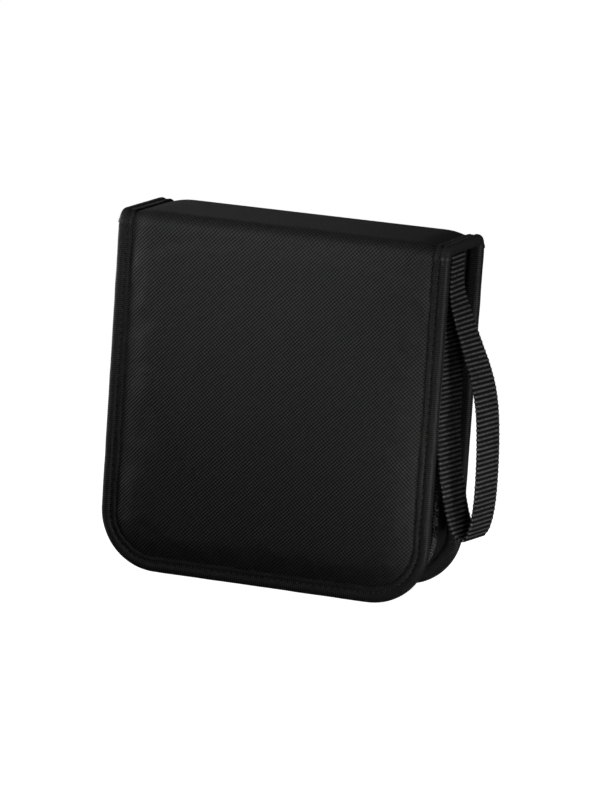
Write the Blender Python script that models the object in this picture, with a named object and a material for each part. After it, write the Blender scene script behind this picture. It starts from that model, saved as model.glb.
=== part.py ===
"""Zipped wallet for discs, standing on its fore edge with the spine on top.

A cloth wrap (front cover, spine, back cover) is bound all round with tape. Each cover carries its
half of the zip round three sides. Inside, two-sided sleeves hang from the spine. A webbing loop is
sewn in at the right end of the spine. X runs along the spine, Y from the front cover to the back
cover, Z up. The origin is the middle of the bounding box's bottom face.

Depths are measured from a cover's outer plane towards the middle of the case, and insets from the
outer edge of the wrap inwards.
"""

import math

import bmesh
import bpy
from mathutils import Vector

# The closed case, over the edge bindings
WIDTH = 0.155
HEIGHT = 0.162
DEPTH = 0.0524
CORNER_RADIUS = 0.027
FOLD_RADIUS = 0.006
GAP = 0.0003

# Layers of the wrap at its bound edge
LIP_THICKNESS = 0.0011
SKIN_THICKNESS = 0.0007
LINING_THICKNESS = 0.0004
TAPE_THICKNESS = 0.0005
BOARD_THICKNESS = 0.0036

# Edge binding: a bead along the edge, then a flatter stitched strip
BINDING_OUTER = 0.007
BINDING_INNER = 0.0064
BINDING_WEB = 0.001
BEAD_WIDTH = 0.0038
BEAD_RADIUS = 0.0016
STITCH_GROOVE = 0.0006

# Padded faces
PANEL_PROUD = 0.001
SPINE_SINK = 0.0006
PANEL_RISE = 0.0068
BOARD_INSET = 0.0112

# Zip: the coil stands on the outer face of the tape wall
COIL_INSET = 0.005
COIL_HEIGHT = 0.0014
COIL_REACH = 0.0032
COIL_BASE = 0.0012
TOOTH_PITCH = 0.003
TOOTH_SHARE = 0.5
WEDGE_WIDTH = 0.0006
WEDGE_CLEARANCE = 0.0002
TAPE_EDGE = 0.001
ZIP_END_LENGTH = 0.019

# Slider and pull, parked at the left end of the spine
SLIDER_LENGTH = 0.011
SLIDER_PLATE = 0.0009
SLIDER_FLANGE = 0.0008
SLIDER_PARK = 0.001
SLIDER_TAPER = 0.0007
WEDGE_LENGTH = 0.003
BAIL_LENGTH = 0.0072
BAIL_WIDTH = 0.0016
BAIL_BAR = 0.0009
BAIL_OPENING = 0.0019
PULL_LENGTH = 0.024
PULL_THICKNESS = 0.0011
PULL_EYE_LENGTH = 0.0030
PULL_ARM = 0.0011
PULL_WIDTH = 0.0062

# Sleeves
LEAF_THICKNESS = 0.0009
LEAF_PITCH = 0.00166
LEAF_SIDE_CLEARANCE = 0.0043
LEAF_FOOT_CLEARANCE = 0.0106
LEAF_CORNER = 0.009
HEADER_HEIGHT = 0.006
ANCHOR_THICKNESS = 0.0006
SLEEVE_MARGIN = 0.0016

# Wrist strap
STRAP_WIDTH = 0.02
STRAP_THICKNESS = 0.0015
STRAP_RIB = 0.0021
STRAP_RIB_DEPTH = 0.0002
STRAP_SCALLOP = 0.0004
STRAP_TURN = math.radians(9)
STRAP_STRAIGHT = 0.016
STRAP_REACH = 0.0166
STRAP_FOOT = 0.03

# The loop's middle line below its seam: shares of the reach, and of the height above the foot
STRAP_INNER_SHARES = ((-0.19, 0.57), (-0.10, 0.33), (0.13, 0.16), (0.38, 0.04))
STRAP_OUTER_SHARES = ((0.90, 0.05), (0.99, 0.18), (0.95, 0.40), (0.79, 0.58), (0.38, 0.77), (0.06, 0.92))
STRAP_TURNING_SHARE = 0.69

# Facets
CORNER_STEPS = 6
FOLD_STEPS = 4
BEAD_STEPS = 3
STRAP_CURVE_STEPS = 24

# Depths of the layers, in order from the outside
SKIN_TOP = LIP_THICKNESS + GAP
SKIN_LOW = SKIN_TOP + SKIN_THICKNESS
LINING_TOP = SKIN_LOW + GAP
LINING_LOW = LINING_TOP + LINING_THICKNESS
TAPE_TOP = LINING_LOW + GAP
TAPE_LOW = TAPE_TOP + TAPE_THICKNESS
INNER_LIP = TAPE_LOW + GAP
EDGE = INNER_LIP + LIP_THICKNESS
SKIN_INSET = BINDING_WEB + GAP

# Levels
FOLD_LINE = HEIGHT - FOLD_RADIUS
COVER_TOP = FOLD_LINE - GAP
HINGE_Z = FOLD_LINE - GAP / 2
HINGE_Y = DEPTH / 2 + PANEL_PROUD
BOARD_TOP = -PANEL_PROUD + SKIN_THICKNESS + GAP
SPINE_BOARD_TOP = SPINE_SINK + SKIN_THICKNESS + GAP
TRAY_TOP = BOARD_TOP + BOARD_THICKNESS + GAP
ZIP_END_TOP = HEIGHT - LINING_LOW - GAP
ZIP_SPLIT = ZIP_END_TOP - ZIP_END_LENGTH
COIL_LOW = COIL_INSET + COIL_HEIGHT
WALL_OUT = COIL_LOW + GAP
WALL_IN = WALL_OUT + TAPE_THICKNESS
TOOTH_TIP = WEDGE_WIDTH / 2 + WEDGE_CLEARANCE
ANCHOR_TOP = HEIGHT - EDGE - GAP
LEAF_TOP = ANCHOR_TOP - ANCHOR_THICKNESS - GAP
LEAF_BOTTOM = WALL_IN + LEAF_FOOT_CLEARANCE
LEAF_HALF = WIDTH / 2 - WALL_IN - LEAF_SIDE_CLEARANCE
LEAF_SPACE = DEPTH / 2 - EDGE - SLEEVE_MARGIN
LEAF_COUNT = max(2, int((2 * LEAF_SPACE - LEAF_THICKNESS) / LEAF_PITCH) + 1)
STRAP_TOP = HEIGHT - EDGE - GAP


def clear_scene():
    """Remove whatever objects the file opened with."""
    for item in list(bpy.data.objects):
        bpy.data.objects.remove(item, do_unlink=True)


def make_material(name, color, roughness, metallic=0.0, sheen=0.0):
    """A Principled material with the piece's own colour."""
    material = bpy.data.materials.new(name)
    material.use_nodes = True
    shader = material.node_tree.nodes["Principled BSDF"]
    shader.inputs["Base Color"].default_value = (*color, 1.0)
    shader.inputs["Roughness"].default_value = roughness
    shader.inputs["Metallic"].default_value = metallic
    shader.inputs["Sheen Weight"].default_value = sheen
    return material


def close_mesh(bm):
    """Merge doubled points and turn every face outwards."""
    bmesh.ops.remove_doubles(bm, verts=bm.verts, dist=1e-6)
    bmesh.ops.recalc_face_normals(bm, faces=bm.faces)
    return bm


def bridge(bm, first, second):
    """Quads between two rows of points of the same length."""
    for i in range(len(first) - 1):
        bm.faces.new((first[i], first[i + 1], second[i + 1], second[i]))


def prism(outline, place):
    """Solid between two copies of a flat outline. place(point, end) gives each corner in space."""
    bm = bmesh.new()
    near = [bm.verts.new(place(point, 0)) for point in outline]
    far = [bm.verts.new(place(point, 1)) for point in outline]
    bm.faces.new(near)
    bm.faces.new(far)
    bridge(bm, near + near[:1], far + far[:1])
    return close_mesh(bm)


def mesh_of(bm, name):
    """A mesh datablock that holds the solid."""
    mesh = bpy.data.meshes.new(name)
    bm.to_mesh(mesh)
    bm.free()
    return mesh


def fused(name, solids):
    """One solid made by joining overlapping ones."""
    pieces = []
    for bm in solids:
        piece = bpy.data.objects.new(name + "_piece", mesh_of(bm, name + "_piece"))
        bpy.context.collection.objects.link(piece)
        pieces.append(piece)
    base = pieces[0]
    for other in pieces[1:]:
        union = base.modifiers.new("union", "BOOLEAN")
        union.operation = "UNION"
        union.solver = "EXACT"
        union.object = other
    depsgraph = bpy.context.evaluated_depsgraph_get()
    mesh = bpy.data.meshes.new_from_object(base.evaluated_get(depsgraph))
    result = bmesh.new()
    result.from_mesh(mesh)
    for piece in pieces:
        bpy.data.objects.remove(piece, do_unlink=True)
    return close_mesh(result)


def rim_outline(inset, top):
    """Points (x, z) down the left side, round both lower corners and up the right side."""
    half = WIDTH / 2 - inset
    radius = CORNER_RADIUS - inset
    centre = WIDTH / 2 - CORNER_RADIUS
    points = [(-half, top)]
    for side, start in ((-1, math.pi), (1, 1.5 * math.pi)):
        for step in range(CORNER_STEPS + 1):
            angle = start + 0.5 * math.pi * step / CORNER_STEPS
            x = side * centre + radius * math.cos(angle)
            points.append((x, CORNER_RADIUS + radius * math.sin(angle)))
    points.append((half, top))
    return points


def rim_row(bm, side, inset, depth, top):
    """One row of points round three sides of a cover."""
    y = side * (DEPTH / 2 - depth)
    return [bm.verts.new((x, y, z)) for x, z in rim_outline(inset, top)]


def rim_sweep(profile, side, top):
    """A closed section of (inset, depth) points, swept round three sides of a cover."""
    bm = bmesh.new()
    rows = [rim_row(bm, side, inset, depth, top) for inset, depth in profile]
    for row, following in zip(rows, rows[1:] + rows[:1]):
        bridge(bm, row, following)
    bm.faces.new([row[0] for row in rows])
    bm.faces.new([row[-1] for row in rows])
    return close_mesh(bm)


def rim_panel(outer, inner, side, top):
    """A sheet whose two faces step inwards from the edge, each in rings of (inset, depth)."""
    bm = bmesh.new()
    front = [rim_row(bm, side, inset, depth, top) for inset, depth in outer]
    back = [rim_row(bm, side, inset, depth, top) for inset, depth in inner]
    for rows in (front, back):
        for row, following in zip(rows, rows[1:]):
            bridge(bm, row, following)
        bm.faces.new(rows[-1])
    bridge(bm, front[0], back[0])
    left = [row[0] for row in front] + [row[0] for row in reversed(back)]
    right = [row[-1] for row in front] + [row[-1] for row in reversed(back)]
    middle = len(front)
    bm.faces.new(left[:middle] + right[:middle][::-1] + right[middle:][::-1] + left[middle:])
    return close_mesh(bm)


def arch_points(depth_y, depth_z):
    """Points (y, z) from the front fold over the spine to the back fold."""
    centre = DEPTH / 2 - FOLD_RADIUS
    points = []
    for side in (-1, 1):
        for step in range(FOLD_STEPS + 1):
            share = step / FOLD_STEPS
            angle = 0.5 * math.pi * (share if side < 0 else 1 - share)
            y = side * (centre + (FOLD_RADIUS - depth_y) * math.cos(angle))
            points.append((y, FOLD_LINE + (FOLD_RADIUS - depth_z) * math.sin(angle)))
    return points


def arch_sweep(profile, end):
    """A closed section of (inset, depth) points, swept over one end of the spine."""
    bm = bmesh.new()
    rows = []
    for inset, depth in profile:
        x = end * (WIDTH / 2 - inset)
        rows.append([bm.verts.new((x, y, z)) for y, z in arch_points(depth, depth)])
    for row, following in zip(rows, rows[1:] + rows[:1]):
        bridge(bm, row, following)
    bm.faces.new([row[0] for row in rows])
    bm.faces.new([row[-1] for row in rows])
    return close_mesh(bm)


def arch_sheet(outer, inner):
    """A sheet over the spine. Each face is stations of (inset, depth at the fold, depth on top)."""
    bm = bmesh.new()
    sections = []
    for end in (-1, 1):
        ordered = list(zip(outer, inner))
        if end > 0:
            ordered.reverse()
        for top_face, low_face in ordered:
            ring = []
            for flip, (inset, depth_y, depth_z) in ((False, top_face), (True, low_face)):
                row = arch_points(depth_y, depth_z)
                if flip:
                    row.reverse()
                ring += [bm.verts.new((end * (WIDTH / 2 - inset), y, z)) for y, z in row]
            sections.append(ring)
    for ring, following in zip(sections, sections[1:]):
        bridge(bm, ring + ring[:1], following + following[:1])
    bm.faces.new(sections[0])
    bm.faces.new(sections[-1])
    return close_mesh(bm)


def binding_profile():
    """Section of the edge binding: beaded edge, stitched strip, and a plain strip inside."""
    points = [(BINDING_OUTER, LIP_THICKNESS), (BINDING_OUTER, STITCH_GROOVE)]
    points.append((BEAD_WIDTH + STITCH_GROOVE, STITCH_GROOVE))
    points.append((BEAD_WIDTH, STITCH_GROOVE / 4))
    for corner, depth in ((-1, BEAD_RADIUS), (1, EDGE - BEAD_RADIUS)):
        for step in range(BEAD_STEPS + 1):
            share = step / BEAD_STEPS
            angle = 0.5 * math.pi * (share if corner < 0 else 1 - share)
            inset = BEAD_RADIUS * (1 - math.sin(angle))
            points.append((inset, depth + corner * BEAD_RADIUS * math.cos(angle)))
    points += [(BINDING_INNER, EDGE), (BINDING_INNER, INNER_LIP)]
    points += [(BINDING_WEB, INNER_LIP), (BINDING_WEB, LIP_THICKNESS)]
    return points


def skin_rings():
    """Rings of a cover's outer cloth: flat under the binding, then rising to the padded face."""
    rise_start = BINDING_OUTER + GAP
    outer = [(SKIN_INSET, SKIN_TOP), (rise_start, SKIN_TOP)]
    inner = [(SKIN_INSET, SKIN_LOW), (rise_start + SKIN_THICKNESS, SKIN_LOW)]
    climb = SKIN_TOP + PANEL_PROUD
    for share, height in ((0.15, 0.42), (0.42, 0.79), (1.0, 1.0)):
        outer.append((rise_start + share * PANEL_RISE, SKIN_TOP - height * climb))
    low_climb = SKIN_LOW + PANEL_PROUD - SKIN_THICKNESS
    for share, height in ((0.25, 0.67), (0.48, 1.0), (1.0, 1.0)):
        inner.append((rise_start + share * PANEL_RISE, SKIN_LOW - height * low_climb))
    return outer, inner


def cover_skin(side):
    """Outer cloth of a cover."""
    outer, inner = skin_rings()
    return rim_panel(outer, inner, side, COVER_TOP)


def cover_board(side):
    """Foam board between the outer cloth and the lining."""
    top = COVER_TOP
    rings = [(BOARD_INSET, BOARD_TOP)]
    low_rings = [(BOARD_INSET, BOARD_TOP + BOARD_THICKNESS)]
    return rim_panel(rings, low_rings, side, top)


def cover_lining(side):
    """Lining of a cover: its edge lies in the binding, its middle covers the board."""
    step = WALL_IN + GAP
    low_tray = TRAY_TOP + LINING_THICKNESS
    outer = [(SKIN_INSET, LINING_TOP), (step + LINING_THICKNESS, LINING_TOP)]
    outer.append((step + 2 * LINING_THICKNESS + (TRAY_TOP - LINING_TOP) / 2, TRAY_TOP))
    inner = [(SKIN_INSET, LINING_LOW), (step, LINING_LOW)]
    inner.append((step + LINING_THICKNESS + (low_tray - LINING_LOW) / 2, low_tray))
    return rim_panel(outer, inner, side, COVER_TOP)


def cover_binding(side):
    """Edge binding of a cover."""
    return rim_sweep(binding_profile(), side, COVER_TOP)


def zip_tape(side):
    """Half of the zip tape: sewn under the binding, then turned to stand as the side wall."""
    edge = DEPTH / 2 - TAPE_EDGE
    profile = [(SKIN_INSET, TAPE_TOP), (WALL_IN, TAPE_TOP), (WALL_IN, edge), (WALL_OUT, edge)]
    profile += [(WALL_OUT, TAPE_LOW), (SKIN_INSET, TAPE_LOW)]
    return rim_sweep(profile, side, ZIP_SPLIT - GAP)


def rim_place(distance, inset, top):
    """Point (x, z) at a distance along the coil, from the top of the left side."""
    radius = CORNER_RADIUS - COIL_INSET
    straight = top - CORNER_RADIUS
    arc = 0.5 * math.pi * radius
    bottom = WIDTH - 2 * CORNER_RADIUS
    half = WIDTH / 2 - inset
    if distance <= straight:
        return -half, top - distance
    distance -= straight
    if distance <= arc:
        angle = math.pi + distance / radius
        x = -bottom / 2 + (CORNER_RADIUS - inset) * math.cos(angle)
        return x, CORNER_RADIUS + (CORNER_RADIUS - inset) * math.sin(angle)
    distance -= arc
    if distance <= bottom:
        return distance - bottom / 2, inset
    distance -= bottom
    if distance <= arc:
        angle = 1.5 * math.pi + distance / radius
        x = bottom / 2 + (CORNER_RADIUS - inset) * math.cos(angle)
        return x, CORNER_RADIUS + (CORNER_RADIUS - inset) * math.sin(angle)
    return half, CORNER_RADIUS + distance - arc


def tooth_row(length, place, outer, inner):
    """Comb of coil loops along a run. place(distance, inset, reach) gives each corner in space."""
    count = max(2, int(length / TOOTH_PITCH))
    pitch = length / count
    bm = bmesh.new()
    root = COIL_REACH - COIL_BASE
    marks = []
    for inset in (outer, inner):
        back = []
        front = []
        for i in range(count):
            start = i * pitch
            end = start + TOOTH_SHARE * pitch
            back.append(bm.verts.new(place(start, inset, COIL_REACH)))
            front.append(bm.verts.new(place(start, inset, root)))
            front.append(bm.verts.new(place(start, inset, TOOTH_TIP)))
            front.append(bm.verts.new(place(end, inset, TOOTH_TIP)))
            front.append(bm.verts.new(place(end, inset, root)))
        back.append(bm.verts.new(place(length, inset, COIL_REACH)))
        front.append(bm.verts.new(place(length, inset, root)))
        marks.append((back, front))
        for i in range(count):
            cell = front[4 * i:4 * i + 5]
            bm.faces.new([back[i]] + cell + [back[i + 1]])
    (near_back, near_front), (far_back, far_front) = marks
    bridge(bm, near_back, far_back)
    bridge(bm, near_front, far_front)
    bm.faces.new((near_back[0], near_front[0], far_front[0], far_back[0]))
    bm.faces.new((near_back[-1], near_front[-1], far_front[-1], far_back[-1]))
    return close_mesh(bm)


def zip_coil(side):
    """Half of the zip coil, round three sides of a cover."""
    top = ZIP_SPLIT - GAP
    arc = 0.5 * math.pi * (CORNER_RADIUS - COIL_INSET)
    length = 2 * (top - CORNER_RADIUS) + 2 * arc + WIDTH - 2 * CORNER_RADIUS

    def place(distance, inset, reach):
        x, z = rim_place(distance, inset, top)
        return x, side * reach, z

    return tooth_row(length, place, COIL_INSET, COIL_LOW)


def zip_end(end):
    """End of the zip at the spine: both tapes, joined above the coils."""
    half = DEPTH / 2 - EDGE - GAP
    slot_top = ZIP_SPLIT + SLIDER_PARK + SLIDER_LENGTH + WEDGE_LENGTH / 2
    outline = [(-half, ZIP_SPLIT), (-TAPE_EDGE, ZIP_SPLIT), (-TAPE_EDGE, slot_top)]
    outline += [(TAPE_EDGE, slot_top), (TAPE_EDGE, ZIP_SPLIT), (half, ZIP_SPLIT)]
    outline += [(half, ZIP_END_TOP), (-half, ZIP_END_TOP)]

    def place_tape(point, far):
        inset = WALL_IN if far else WALL_OUT
        return end * (WIDTH / 2 - inset), point[0], point[1]

    solids = [prism(outline, place_tape)]
    for side in (-1, 1):

        def place_tooth(distance, inset, reach, side=side):
            return end * (WIDTH / 2 - inset), side * reach, ZIP_SPLIT + distance

        sunk = WALL_OUT + TAPE_THICKNESS / 2
        solids.append(tooth_row(slot_top - ZIP_SPLIT, place_tooth, COIL_INSET, sunk))
    return fused("zip_end", solids)


def slider_levels():
    """Insets of the slider's plates, from the outside inwards."""
    outer_low = COIL_INSET - GAP
    inner_top = WALL_IN + GAP
    return outer_low - SLIDER_PLATE, outer_low, inner_top, inner_top + SLIDER_PLATE


def pivot_place():
    """Inset and height of the pull's crossbar, in the slider's bail."""
    outer_top = slider_levels()[0]
    bail_low = ZIP_SPLIT + SLIDER_PARK + (SLIDER_LENGTH - BAIL_LENGTH) / 2
    return outer_top - BAIL_OPENING / 2, bail_low + BAIL_BAR + BAIL_OPENING / 2


def left_block(outline, outer, inner):
    """Solid with a (y, z) outline between two insets on the left side."""

    def place(point, far):
        inset = inner if far else outer
        return -(WIDTH / 2 - inset), point[0], point[1]

    return prism(outline, place)


def rectangle(low_y, high_y, low_z, high_z):
    """Corners of a rectangle, in order."""
    return [(low_y, low_z), (high_y, low_z), (high_y, high_z), (low_y, high_z)]


def zip_slider():
    """Slider: two plates, joined by the wedge at the top, with side flanges and a bail."""
    outer_top, outer_low, inner_top, inner_low = slider_levels()
    low = ZIP_SPLIT + SLIDER_PARK
    high = low + SLIDER_LENGTH
    inside = COIL_REACH + WEDGE_CLEARANCE + GAP
    tail = inside + SLIDER_FLANGE
    nose = tail + SLIDER_TAPER
    shoulder = high - WEDGE_LENGTH
    plate = [(-tail, low), (tail, low), (nose, shoulder), (nose, high - SLIDER_TAPER)]
    plate += [(nose - SLIDER_TAPER, high), (SLIDER_TAPER - nose, high)]
    plate += [(-nose, high - SLIDER_TAPER), (-nose, shoulder)]
    solids = [left_block(plate, outer_top, outer_low), left_block(plate, inner_top, inner_low)]
    wedge = WEDGE_WIDTH / 2
    bite = SLIDER_PLATE / 2
    wedge_outline = rectangle(-wedge, wedge, high - WEDGE_LENGTH, high - SLIDER_TAPER)
    solids.append(left_block(wedge_outline, outer_low - bite, inner_top + bite))
    for side in (-1, 1):
        flange = [(side * inside, low + GAP), (side * (tail - GAP / 3), low + GAP)]
        flange += [(side * (nose - GAP / 3), shoulder), (side * (inside + SLIDER_TAPER), shoulder)]
        solids.append(left_block(flange, outer_low - bite, WALL_OUT - GAP))
    solids.append(slider_bail(outer_top, bite, low))
    return fused("zip_slider", solids)


def slider_bail(outer_top, bite, low):
    """Arch on the outer plate that holds the pull."""
    start = low + (SLIDER_LENGTH - BAIL_LENGTH) / 2
    end = start + BAIL_LENGTH
    crown = outer_top - BAIL_OPENING
    foot = outer_top + bite
    outline = [(foot, start), (crown, start), (crown - BAIL_BAR, start + BAIL_BAR)]
    outline += [(crown - BAIL_BAR, end - BAIL_BAR), (crown, end), (foot, end)]
    outline += [(foot, end - BAIL_BAR), (crown, end - BAIL_BAR)]
    outline += [(crown, start + BAIL_BAR), (foot, start + BAIL_BAR)]

    def place(point, far):
        y = BAIL_WIDTH / 2 if far else -BAIL_WIDTH / 2
        return -(WIDTH / 2 - point[0]), y, point[1]

    return prism(outline, place)


def zip_pull():
    """Pull tab: a crossbar in the bail, two arms and a paddle with a rounded end."""
    inset, height = pivot_place()
    eye = BAIL_WIDTH / 2 + GAP
    arm = eye + PULL_ARM
    half = PULL_WIDTH / 2
    bar = PULL_THICKNESS / 2
    neck = height - PULL_EYE_LENGTH - PULL_THICKNESS
    foot = height - PULL_LENGTH
    outline = [(-arm, height + bar), (-arm, neck), (-half, neck - PULL_ARM)]
    for step in range(CORNER_STEPS + 1):
        angle = math.pi + math.pi * step / CORNER_STEPS
        outline.append((half * math.cos(angle), foot + half + half * math.sin(angle)))
    outline += [(half, neck - PULL_ARM), (arm, neck), (arm, height + bar)]
    hole = rectangle(-eye, eye, height - PULL_EYE_LENGTH, height - bar)
    plate = left_block(outline, inset - bar, inset + bar)
    cutter = left_block(hole, inset - PULL_THICKNESS, inset + PULL_THICKNESS)
    return carved("zip_pull", plate, cutter)


def carved(name, solid, cutter):
    """The solid less the cutter."""
    pieces = []
    for bm in (solid, cutter):
        piece = bpy.data.objects.new(name + "_piece", mesh_of(bm, name + "_piece"))
        bpy.context.collection.objects.link(piece)
        pieces.append(piece)
    cut = pieces[0].modifiers.new("cut", "BOOLEAN")
    cut.operation = "DIFFERENCE"
    cut.solver = "EXACT"
    cut.object = pieces[1]
    depsgraph = bpy.context.evaluated_depsgraph_get()
    mesh = bpy.data.meshes.new_from_object(pieces[0].evaluated_get(depsgraph))
    result = bmesh.new()
    result.from_mesh(mesh)
    for piece in pieces:
        bpy.data.objects.remove(piece, do_unlink=True)
    return close_mesh(result)


def spine_skin():
    """Outer cloth over the spine, meeting the covers' cloth at the folds."""
    outer, inner = skin_rings()
    climb = SKIN_TOP + PANEL_PROUD
    sink = SKIN_TOP - SPINE_SINK
    top_face = []
    for inset, depth in outer:
        share = (SKIN_TOP - depth) / climb
        top_face.append((inset, depth, SKIN_TOP - share * sink))
    low_climb = SKIN_LOW + PANEL_PROUD - SKIN_THICKNESS
    low_face = []
    for inset, depth in inner:
        share = (SKIN_LOW - depth) / low_climb
        low_face.append((inset, depth, SKIN_LOW - share * sink))
    return arch_sheet(top_face, low_face)


def spine_board():
    """Foam board of the spine, flat between the folds."""
    half = DEPTH / 2 - FOLD_RADIUS
    top = HEIGHT - SPINE_BOARD_TOP
    low = HEIGHT - EDGE + LINING_THICKNESS + GAP
    outline = rectangle(-half, half, low, top)

    def place(point, far):
        x = WIDTH / 2 - BOARD_INSET
        return (x if far else -x), point[0], point[1]

    return prism(outline, place)


def spine_lining():
    """Lining of the spine, caught in the bindings at both ends."""
    full_low = EDGE
    full_top = EDGE - LINING_THICKNESS
    rise = full_top - LINING_TOP
    step = WALL_IN + GAP
    upper_step = step + LINING_THICKNESS
    outer = [(SKIN_INSET, LINING_TOP, LINING_TOP), (upper_step, LINING_TOP, LINING_TOP)]
    outer.append((upper_step + rise / 2, full_top, full_top))
    inner = [(SKIN_INSET, LINING_LOW, LINING_LOW), (step, LINING_LOW, LINING_LOW)]
    inner.append((step + rise / 2, full_low, full_low))
    return arch_sheet(outer, inner)


def spine_binding(end):
    """Edge binding over one end of the spine."""
    return arch_sweep(binding_profile(), end)


def leaf_bottom(x):
    """Lower edge of a sleeve at a place along its width, round at the corners."""
    beyond = abs(x) - (LEAF_HALF - LEAF_CORNER)
    if beyond <= 0:
        return LEAF_BOTTOM
    return LEAF_BOTTOM + LEAF_CORNER - math.sqrt(max(0.0, LEAF_CORNER ** 2 - beyond ** 2))


def sleeve_pages():
    """All the sleeves as one solid: leaves that hang from a welded header."""
    first = -(LEAF_COUNT - 1) * LEAF_PITCH / 2
    stations = [LEAF_HALF]
    for angle in (60, 30, 0):
        stations.append(LEAF_HALF - LEAF_CORNER * (1 - math.sin(math.radians(angle))))
    xs = [-x for x in stations] + stations[::-1]
    bm = bmesh.new()
    rows = []
    for x in xs:
        bottom = leaf_bottom(x)
        profile = [(first - LEAF_THICKNESS / 2, LEAF_TOP)]
        for i in range(LEAF_COUNT):
            y = first + i * LEAF_PITCH
            near = y - LEAF_THICKNESS / 2
            far = y + LEAF_THICKNESS / 2
            if i > 0:
                profile.append((near, LEAF_TOP - HEADER_HEIGHT))
            profile += [(near, bottom), (far, bottom)]
            if i < LEAF_COUNT - 1:
                profile.append((far, LEAF_TOP - HEADER_HEIGHT))
        profile.append((LEAF_THICKNESS / 2 - first, LEAF_TOP))
        rows.append([bm.verts.new((x, y, z)) for y, z in profile])
    for row, following in zip(rows, rows[1:]):
        bridge(bm, row + row[:1], following + following[:1])
    bm.faces.new(rows[0])
    bm.faces.new(rows[-1])
    return close_mesh(bm)


def sleeve_anchor():
    """Cloth channel, sewn to the spine's lining, that holds the sleeves' header."""
    inner = ((LEAF_COUNT - 1) * LEAF_PITCH + LEAF_THICKNESS) / 2 + GAP
    outer = inner + ANCHOR_THICKNESS
    low = ANCHOR_TOP - HEADER_HEIGHT
    under = ANCHOR_TOP - ANCHOR_THICKNESS
    outline = [(-outer, low), (-inner, low), (-inner, under), (inner, under), (inner, low)]
    outline += [(outer, low), (outer, ANCHOR_TOP), (-outer, ANCHOR_TOP)]

    def place(point, far):
        return (LEAF_HALF if far else -LEAF_HALF), point[0], point[1]

    return prism(outline, place)


def strap_route():
    """Middle line of the strap, as (x, z), from the inner sewn end round to the outer one."""
    side = WIDTH / 2
    outer_leg = side - GAP - STRAP_THICKNESS / 2
    inner_leg = outer_leg - STRAP_THICKNESS - GAP
    joined = STRAP_TOP - STRAP_STRAIGHT
    loop = STRAP_INNER_SHARES + ((STRAP_TURNING_SHARE, 0.0),) + STRAP_OUTER_SHARES
    route = [(inner_leg, STRAP_TOP), (inner_leg, joined)]
    for out, up in loop:
        route.append((side + out * STRAP_REACH, STRAP_FOOT + up * (joined - STRAP_FOOT)))
    return route + [(outer_leg, joined), (outer_leg, STRAP_TOP)]


def smooth_points(route, steps):
    """Points on a smooth curve through the route."""
    guide = [Vector(point) for point in route]
    guide = [2 * guide[0] - guide[1]] + guide + [2 * guide[-1] - guide[-2]]
    points = []
    for i in range(1, len(guide) - 2):
        before, start, end, after = guide[i - 1:i + 3]
        for step in range(steps):
            t = step / steps
            bend = 2 * before - 5 * start + 4 * end - after
            twist = 3 * (start - end) + after - before
            points.append(start + 0.5 * ((end - before) * t + bend * t * t + twist * t ** 3))
    points.append(guide[-2])
    return points


def even_points(points, pitch):
    """Points at an even distance along a line, ends included."""
    lengths = [0.0]
    for a, b in zip(points, points[1:]):
        lengths.append(lengths[-1] + (b - a).length)
    count = max(4, round(lengths[-1] / pitch))
    result = []
    index = 0
    for i in range(count + 1):
        target = lengths[-1] * i / count
        while index < len(points) - 2 and lengths[index + 1] < target:
            index += 1
        span = lengths[index + 1] - lengths[index]
        share = (target - lengths[index]) / span
        result.append(points[index].lerp(points[index + 1], share))
    return result


def wrist_strap():
    """Webbing loop with cross ribs. It turns a little about the vertical as it leaves its seam."""
    line = even_points(smooth_points(strap_route(), STRAP_CURVE_STEPS), STRAP_RIB / 2)
    bm = bmesh.new()
    rows = []
    for i, point in enumerate(line):
        ahead = line[min(i + 1, len(line) - 1)] - line[max(i - 1, 0)]
        across = Vector((ahead.y, 0, -ahead.x)).normalized()
        below_seam = STRAP_TOP - point.y - STRAP_STRAIGHT
        free = min(1.0, max(0.0, below_seam / (2 * STRAP_STRAIGHT)))
        turn = STRAP_TURN * free
        along_width = Vector((math.sin(turn), math.cos(turn), 0))
        valley = i % 2
        half = STRAP_WIDTH / 2 - valley * STRAP_SCALLOP
        thick = STRAP_THICKNESS / 2 - valley * STRAP_RIB_DEPTH
        middle = Vector((point.x, 0, point.y))
        corners = ((-1, -1), (1, -1), (1, 1), (-1, 1))
        rows.append([bm.verts.new(middle + a * half * along_width + b * thick * across)
                     for a, b in corners])
    for row, following in zip(rows, rows[1:]):
        bridge(bm, row + row[:1], following + following[:1])
    bm.faces.new(rows[0])
    bm.faces.new(rows[-1])
    return close_mesh(bm)


def add_node(name, bm, material, body):
    """Put a solid into the scene as a named object under its body's empty."""
    bmesh.ops.translate(bm, verts=bm.verts, vec=-body["pivot"])
    mesh = mesh_of(bm, name)
    mesh.materials.append(material)
    mesh.shade_smooth()
    mesh.set_sharp_from_angle(angle=math.radians(30))
    item = bpy.data.objects.new(name, mesh)
    bpy.context.collection.objects.link(item)
    item.parent = body["empty"]


def make_body(name, pivot, shift, parent=None):
    """An empty on the body's joint axis, under the body that carries it."""
    empty = bpy.data.objects.new(name, None)
    bpy.context.collection.objects.link(empty)
    empty.empty_display_size = FOLD_RADIUS
    carried_from = parent["pivot"] if parent else -shift
    empty.location = pivot - carried_from
    if parent:
        empty.parent = parent["empty"]
    return {"empty": empty, "pivot": pivot}


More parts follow.
